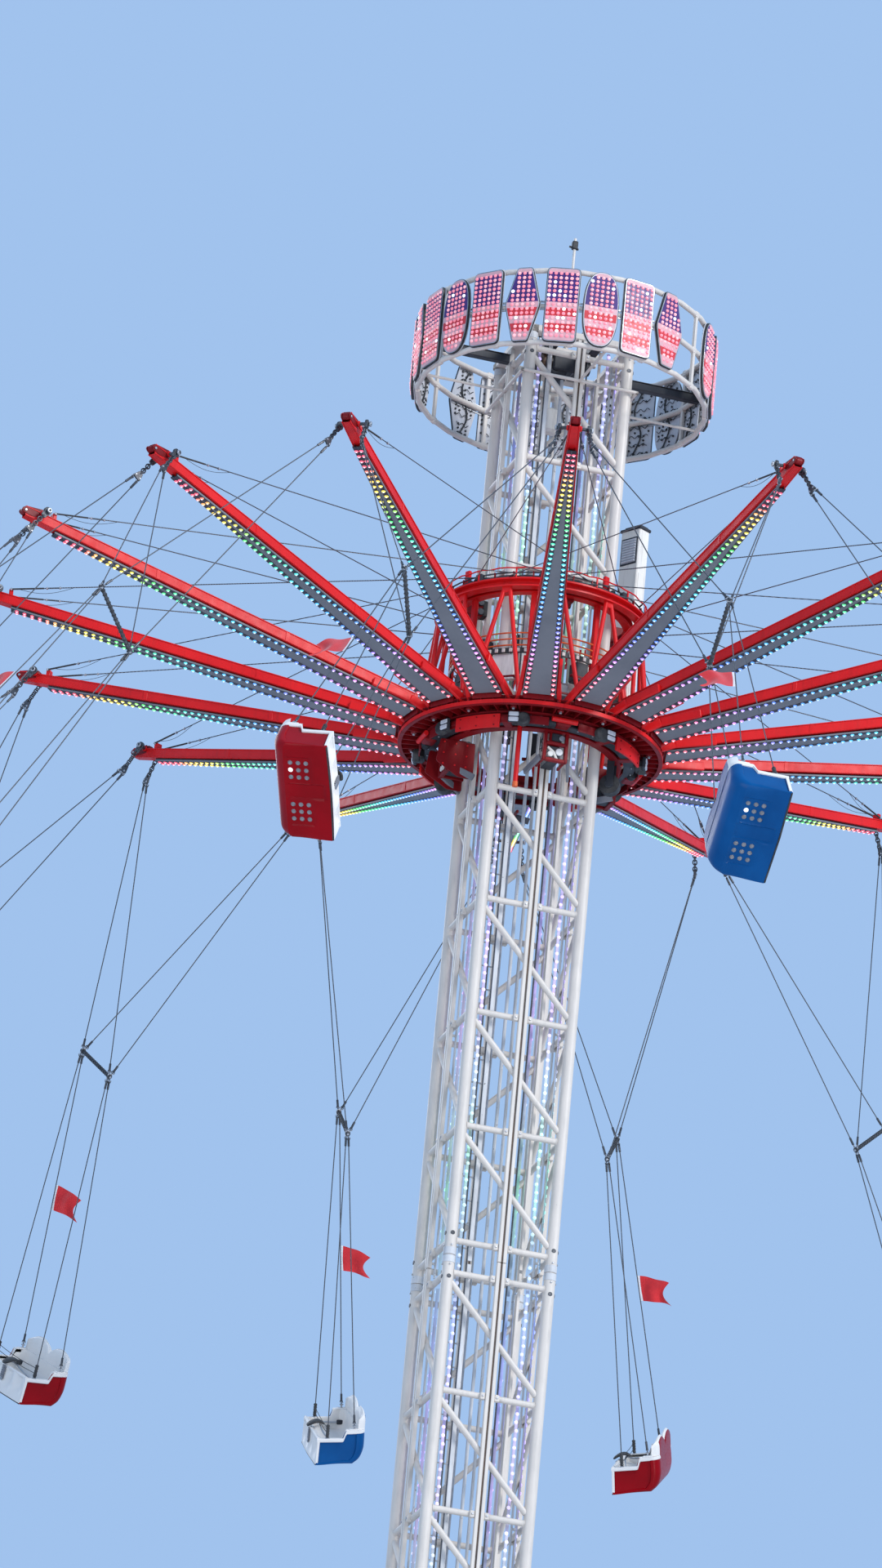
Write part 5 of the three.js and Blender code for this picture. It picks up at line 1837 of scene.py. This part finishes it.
def gondola(colour):
    """One gondola's hard parts, with the seats cut out."""
    body = Shape()
    hull(body, colour)
    whole = body.mesh("hull")
    closed = bmesh.new()
    closed.from_mesh(whole)
    bmesh.ops.remove_doubles(closed, verts=closed.verts, dist=1e-6)
    closed.to_mesh(whole)
    closed.free()
    made = bpy.data.objects.new("hull_cut", whole)
    cutter = bpy.data.objects.new("seat_cutter", seat_cutter().mesh("cutter"))
    for o in (made, cutter):
        bpy.context.scene.collection.objects.link(o)
    cut = made.modifiers.new("seats", "BOOLEAN")
    cut.object = cutter
    cut.solver = "MANIFOLD"
    cut.material_mode = "TRANSFER"
    bpy.context.view_layer.update()
    hollow = bpy.data.meshes.new_from_object(made.evaluated_get(bpy.context.evaluated_depsgraph_get()))
    bpy.data.objects.remove(made)
    bpy.data.objects.remove(cutter)
    shape = Shape()
    back_rest(shape, colour)
    rim(shape)
    gondola_lamps(shape)
    lap_gear(shape)
    by_name = {material.name: finish for finish, material in MATERIALS.items()}
    finishes = [by_name[material.name] for material in hollow.materials]
    points = [v.co / MODEL_SCALE for v in hollow.vertices]
    shape.add(points, [list(p.vertices) for p in hollow.polygons], colour)
    shape.finishes[-len(hollow.polygons):] = [finishes[p.material_index] for p in hollow.polygons]
    return shape.mesh("gondola_" + colour)


def lap_pad():
    """The padded sleeve over the lap bar's middle, bent down over the front rim."""
    shape = Shape()
    corners = ((0, 0.13, 0.405), (0, 0.19, 0.44), (0, 0.25, 0.44), (0, 0.31, 0.415), (0, 0.355, 0.385))
    spine = smooth_path([Vector(p) for p in corners], 5)
    rows = []
    for i, at in enumerate(spine):
        before, after = spine[max(i - 1, 0)], spine[min(i + 1, len(spine) - 1)]
        along = (after - before).normalized()
        over = Vector((1, 0, 0)).cross(along) * -1
        end = math.sin(math.pi * (i + 0.6) / (len(spine) + 0.2)) ** 0.35
        ring = []
        for k in range(16):
            angle = 2 * math.pi * k / 16
            wide = math.copysign(abs(math.cos(angle)) ** 0.7, math.cos(angle)) * 0.07 * end
            thick = math.copysign(abs(math.sin(angle)) ** 0.7, math.sin(angle)) * 0.022 * end
            ring.append(at + Vector((wide, 0, 0)) + over * thick)
        rows.append(ring)
    shape.grid(rows, "rubber", flip=True, closed=True)
    shape.add(rows[0], [list(range(16))], "rubber")
    shape.add(rows[-1], [list(range(16))[::-1]], "rubber")
    return shape.mesh("lap_pad_mesh")


def flag_pattern(across, down):
    """A place on the flag laid flat, from the rope outwards and from the top down, in metres."""
    notch = 1 - FLAG_NOTCH * math.sin(math.pi * down)
    long = FLAG_LONG * across * notch
    return long, FLAG_TALL * (down + (0.5 - down) * 0.12 * across)


def flag(hang):
    """A plain pennant on the outer back rope, rippling backwards."""
    shape = Shape()
    start, end = rope_ends(hang)[3]
    along = (end - start).normalized()
    top = start + (end - start) * FLAG_DOWN
    columns, lines = 28, 14
    phase = 0.7 * hang[0]
    rows = []
    for i in range(columns + 1):
        u = i / columns
        row = []
        for j in range(lines + 1):
            v = j / lines
            out, down = flag_pattern(u, v)
            reach = 0.03 * u ** 0.8
            ripple = reach * math.sin(8.5 * u + 1.6 * v + phase) - reach * math.sin(phase)
            droop = Vector((0, 0, -0.07 * u * u))
            row.append(top + along * down + Vector((ripple, -out * 0.975 - ROPE_RADIUS, 0)) + droop)
        rows.append(row)

    def finish(row, column):
        return "flag_hem" if row < 2 else "flag"

    shape.grid(rows, finish)
    return shape.mesh("flag_mesh")


# Base
def base_pedestal():
    """Base plate, four posts under the legs, ties, braces, foot plates and holding-down bolts."""
    shape = Shape()
    head = BASE_TOP - 0.001
    shape.box((-0.95, -0.95, 0.0), (0.95, 0.95, 0.06), "white_grubby", 0.012)
    for face in range(4):
        shape.place = turn(90 * face)
        shape.box((-LEG_AT - 0.1, -LEG_AT - 0.1, 0.055), (-LEG_AT + 0.1, -LEG_AT + 0.1, head), "white",
                  0.016)
        for z in (0.52, head - 0.22):
            shape.box((-LEG_AT, -LEG_AT - 0.07, z), (LEG_AT, -LEG_AT + 0.07, z + 0.14), "white", 0.014)
        for x in (-0.85, -0.4, 0.0, 0.4, 0.85):
            shape.disc((x, -0.88, 0.072), (0, 0, 1), 0.035, 0.02, "galvanised", 6, 0.006)
        shape.beam((-0.45, -LEG_AT, 0.66), (0.45, -LEG_AT, 1.4), 0.08, 0.08, "white", 0.01)
        shape.box((-LEG_AT - 0.16, -LEG_AT - 0.16, 0.06), (-LEG_AT + 0.16, -LEG_AT + 0.16, 0.085),
                  "white", 0.006)
    return shape.mesh("base_pedestal_mesh")


def outrigger():
    """A support leg along X: flange, box beam, brace, screw jack and ground pad."""
    shape = Shape()
    inner = LEG_AT + 0.1 + 0.001
    shape.box((inner, -0.7, 0.12), (inner + 0.07, 0.7, BASE_TOP - 0.09), "white", 0.012)
    shape.box((inner + 0.06, -0.13, 0.125), (4.3, 0.13, 0.42), "white", 0.016)
    shape.tube([(0.74, 0, BASE_TOP - 0.21), (3.8, 0, 0.36)], 0.075, "white", 18)
    for y in (-0.6, -0.2, 0.2, 0.6):
        for z in (0.25, 0.9, BASE_TOP - 0.2):
            shape.disc((inner + 0.078, y, z), (1, 0, 0), 0.026, 0.014, "galvanised", 6, 0.005)
    jack = 4.08
    shape.tube([(jack, 0, 0.04), (jack, 0, 0.5)], 0.06, "galvanised", 18)
    shape.disc((jack, 0, 0.46), (0, 0, 1), 0.1, 0.05, "steel", 8, 0.01)
    shape.disc((jack, 0, 0.08), (0, 0, 1), 0.11, 0.04, "steel", 20, 0.01)
    shape.box((jack - 0.3, -0.3, 0.0), (jack + 0.3, 0.3, 0.045), "rubber", 0.012)
    for x in (1.6, 2.5, 3.4):
        shape.box((x, -0.135, 0.12), (x + 0.02, 0.135, 0.425), "white", 0.004)
    return shape.mesh("outrigger_mesh")


# The ride
def build_base():
    piece("base_detail", base_pedestal(), "mast", ["base_pedestal"])
    leg = outrigger()
    for i in range(4):
        piece("outrigger_detail_%d" % (i + 1), leg, "mast", ["outrigger_%d" % (i + 1)],
              turn(90 * i))


def build_mast():
    section = mast_section()
    for i in range(SECTIONS):
        place = shift(0, 0, BASE_TOP + i * SECTION)
        name = "mast_section_%d" % (i + 1)
        piece("mast_detail_%d" % (i + 1), section, "mast", [name], place)
    piece("mast_lamps", mast_lamps(), "mast")
    piece("rails_detail", guide_rails(), "mast", ["guide_rails"])
    piece("lift_gear", lift_gear(), "mast")
    piece("mast_head_detail", mast_head(), "mast", ["mast_head"])
    piece("crown_frame_detail", crown_frame(), "mast", ["crown_frame"])
    piece("sign_front_detail", crown_sign(1), "mast", ["crown_sign_front"], turn(SIGN_TURN))
    piece("sign_back_detail", crown_sign(2), "mast", ["crown_sign_back"],
          turn(SIGN_TURN + 180))


def build_carriage():
    piece("carriage_detail", carriage_frame(), "carriage", ["carriage_frame"])
    piece("bearing_detail", bearing_ring(), "carriage", ["bearing_ring"])


def build_star():
    place = shift(0, 0, STAR_LEVEL) @ turn(STAR_TURN)
    quarter = arm_quarter()
    for i in range(4):
        name = "arm_quarter_%d" % (i + 1)
        piece("arms_detail_%d" % (i + 1), quarter, "star", [name], place @ turn(90 * i))
    piece("upper_ring_detail", upper_ring(), "star", ["upper_ring"], place)
    piece("stays_detail", stay_ropes(), "star", ["stay_ropes"], place)
    piece("cabinet_detail", control_cabinet(), "star", ["control_cabinet"], place)


def build_gondolas():
    shells = [gondola("shell_red"), gondola("shell_blue")]
    pad = lap_pad()
    ropes, pennants = {}, {}
    for i in range(ARMS):
        label = "%02d" % (i + 1)
        body = "gondola_body_" + label
        hang = HANGS.get(i + 1, USUAL_HANG)
        if hang not in ropes:
            ropes[hang] = suspension(hang)
            pennants[hang] = flag(hang)
        swung = swing_place(i)
        hung = hang_place(i, hang)
        lines = piece("ropes_detail_" + label, ropes[hang], body, ["suspension_" + label],
                      swung)
        piece("gondola_detail_" + label, shells[i % 2], body, ["gondola_" + label], hung)
        strap = piece("lap_pad_" + label, pad, body, (), hung)
        cloth = piece("flag_" + label, pennants[hang], body, (), swung)


# Studio
def camera():
    """The photograph's viewpoint and framing."""
    data = bpy.data.cameras.new("camera")
    data.sensor_width = SENSOR
    data.lens = SENSOR * FOCAL_PIXELS / IMAGE_HEIGHT
    data.clip_start, data.clip_end = 1, 500
    forward = Vector((
        math.sin(CAMERA_YAW) * math.cos(CAMERA_PITCH),
        math.cos(CAMERA_YAW) * math.cos(CAMERA_PITCH),
        math.sin(CAMERA_PITCH),
    ))
    level = Vector((math.cos(CAMERA_YAW), -math.sin(CAMERA_YAW), 0))
    upright = level.cross(forward)
    right = level * math.cos(CAMERA_ROLL) + upright * math.sin(CAMERA_ROLL)
    up = upright * math.cos(CAMERA_ROLL) - level * math.sin(CAMERA_ROLL)
    axes = Matrix((right, up, -forward)).transposed().to_4x4()
    made = bpy.data.objects.new("camera", data)
    bpy.context.scene.collection.objects.link(made)
    made.matrix_world = turn(CAMERA_TURN) @ Matrix.Translation(Vector(CAMERA_AT) * MODEL_SCALE) @ axes
    bpy.context.scene.camera = made


def lamp(name, at, target, size, power):
    data = bpy.data.lights.new(name, "AREA")
    data.size = size
    data.energy = power
    made = bpy.data.objects.new(name, data)
    bpy.context.scene.collection.objects.link(made)
    made.location = at
    made.rotation_mode = "QUATERNION"
    made.rotation_quaternion = (Vector(target) - Vector(at)).to_track_quat("-Z", "Y")


def studio():
    """A pale floor, a soft pale surround and large soft lamps."""
    floor = bpy.data.meshes.new("floor")
    signs = ((-1, -1), (1, -1), (1, 1), (-1, 1))
    corners = [(x * FLOOR_HALF, y * FLOOR_HALF, FLOOR_LEVEL) for x, y in signs]
    floor.from_pydata(corners, [], [(0, 1, 2, 3)])
    floor.materials.append(floor_material())
    made = bpy.data.objects.new("studio_floor", floor)
    bpy.context.scene.collection.objects.link(made)
    world = bpy.data.worlds.new("studio")
    world.use_nodes = True
    background = world.node_tree.nodes["Background"]
    background.inputs["Color"].default_value = SURROUND
    background.inputs["Strength"].default_value = SURROUND_STRENGTH
    bpy.context.scene.world = world
    bpy.context.scene.view_settings.view_transform = "Standard"
    for name, setting in LAMPS.items():
        lamp(name, *setting)


camera()
build_base()
build_mast()
build_carriage()
build_star()
build_gondolas()
studio()
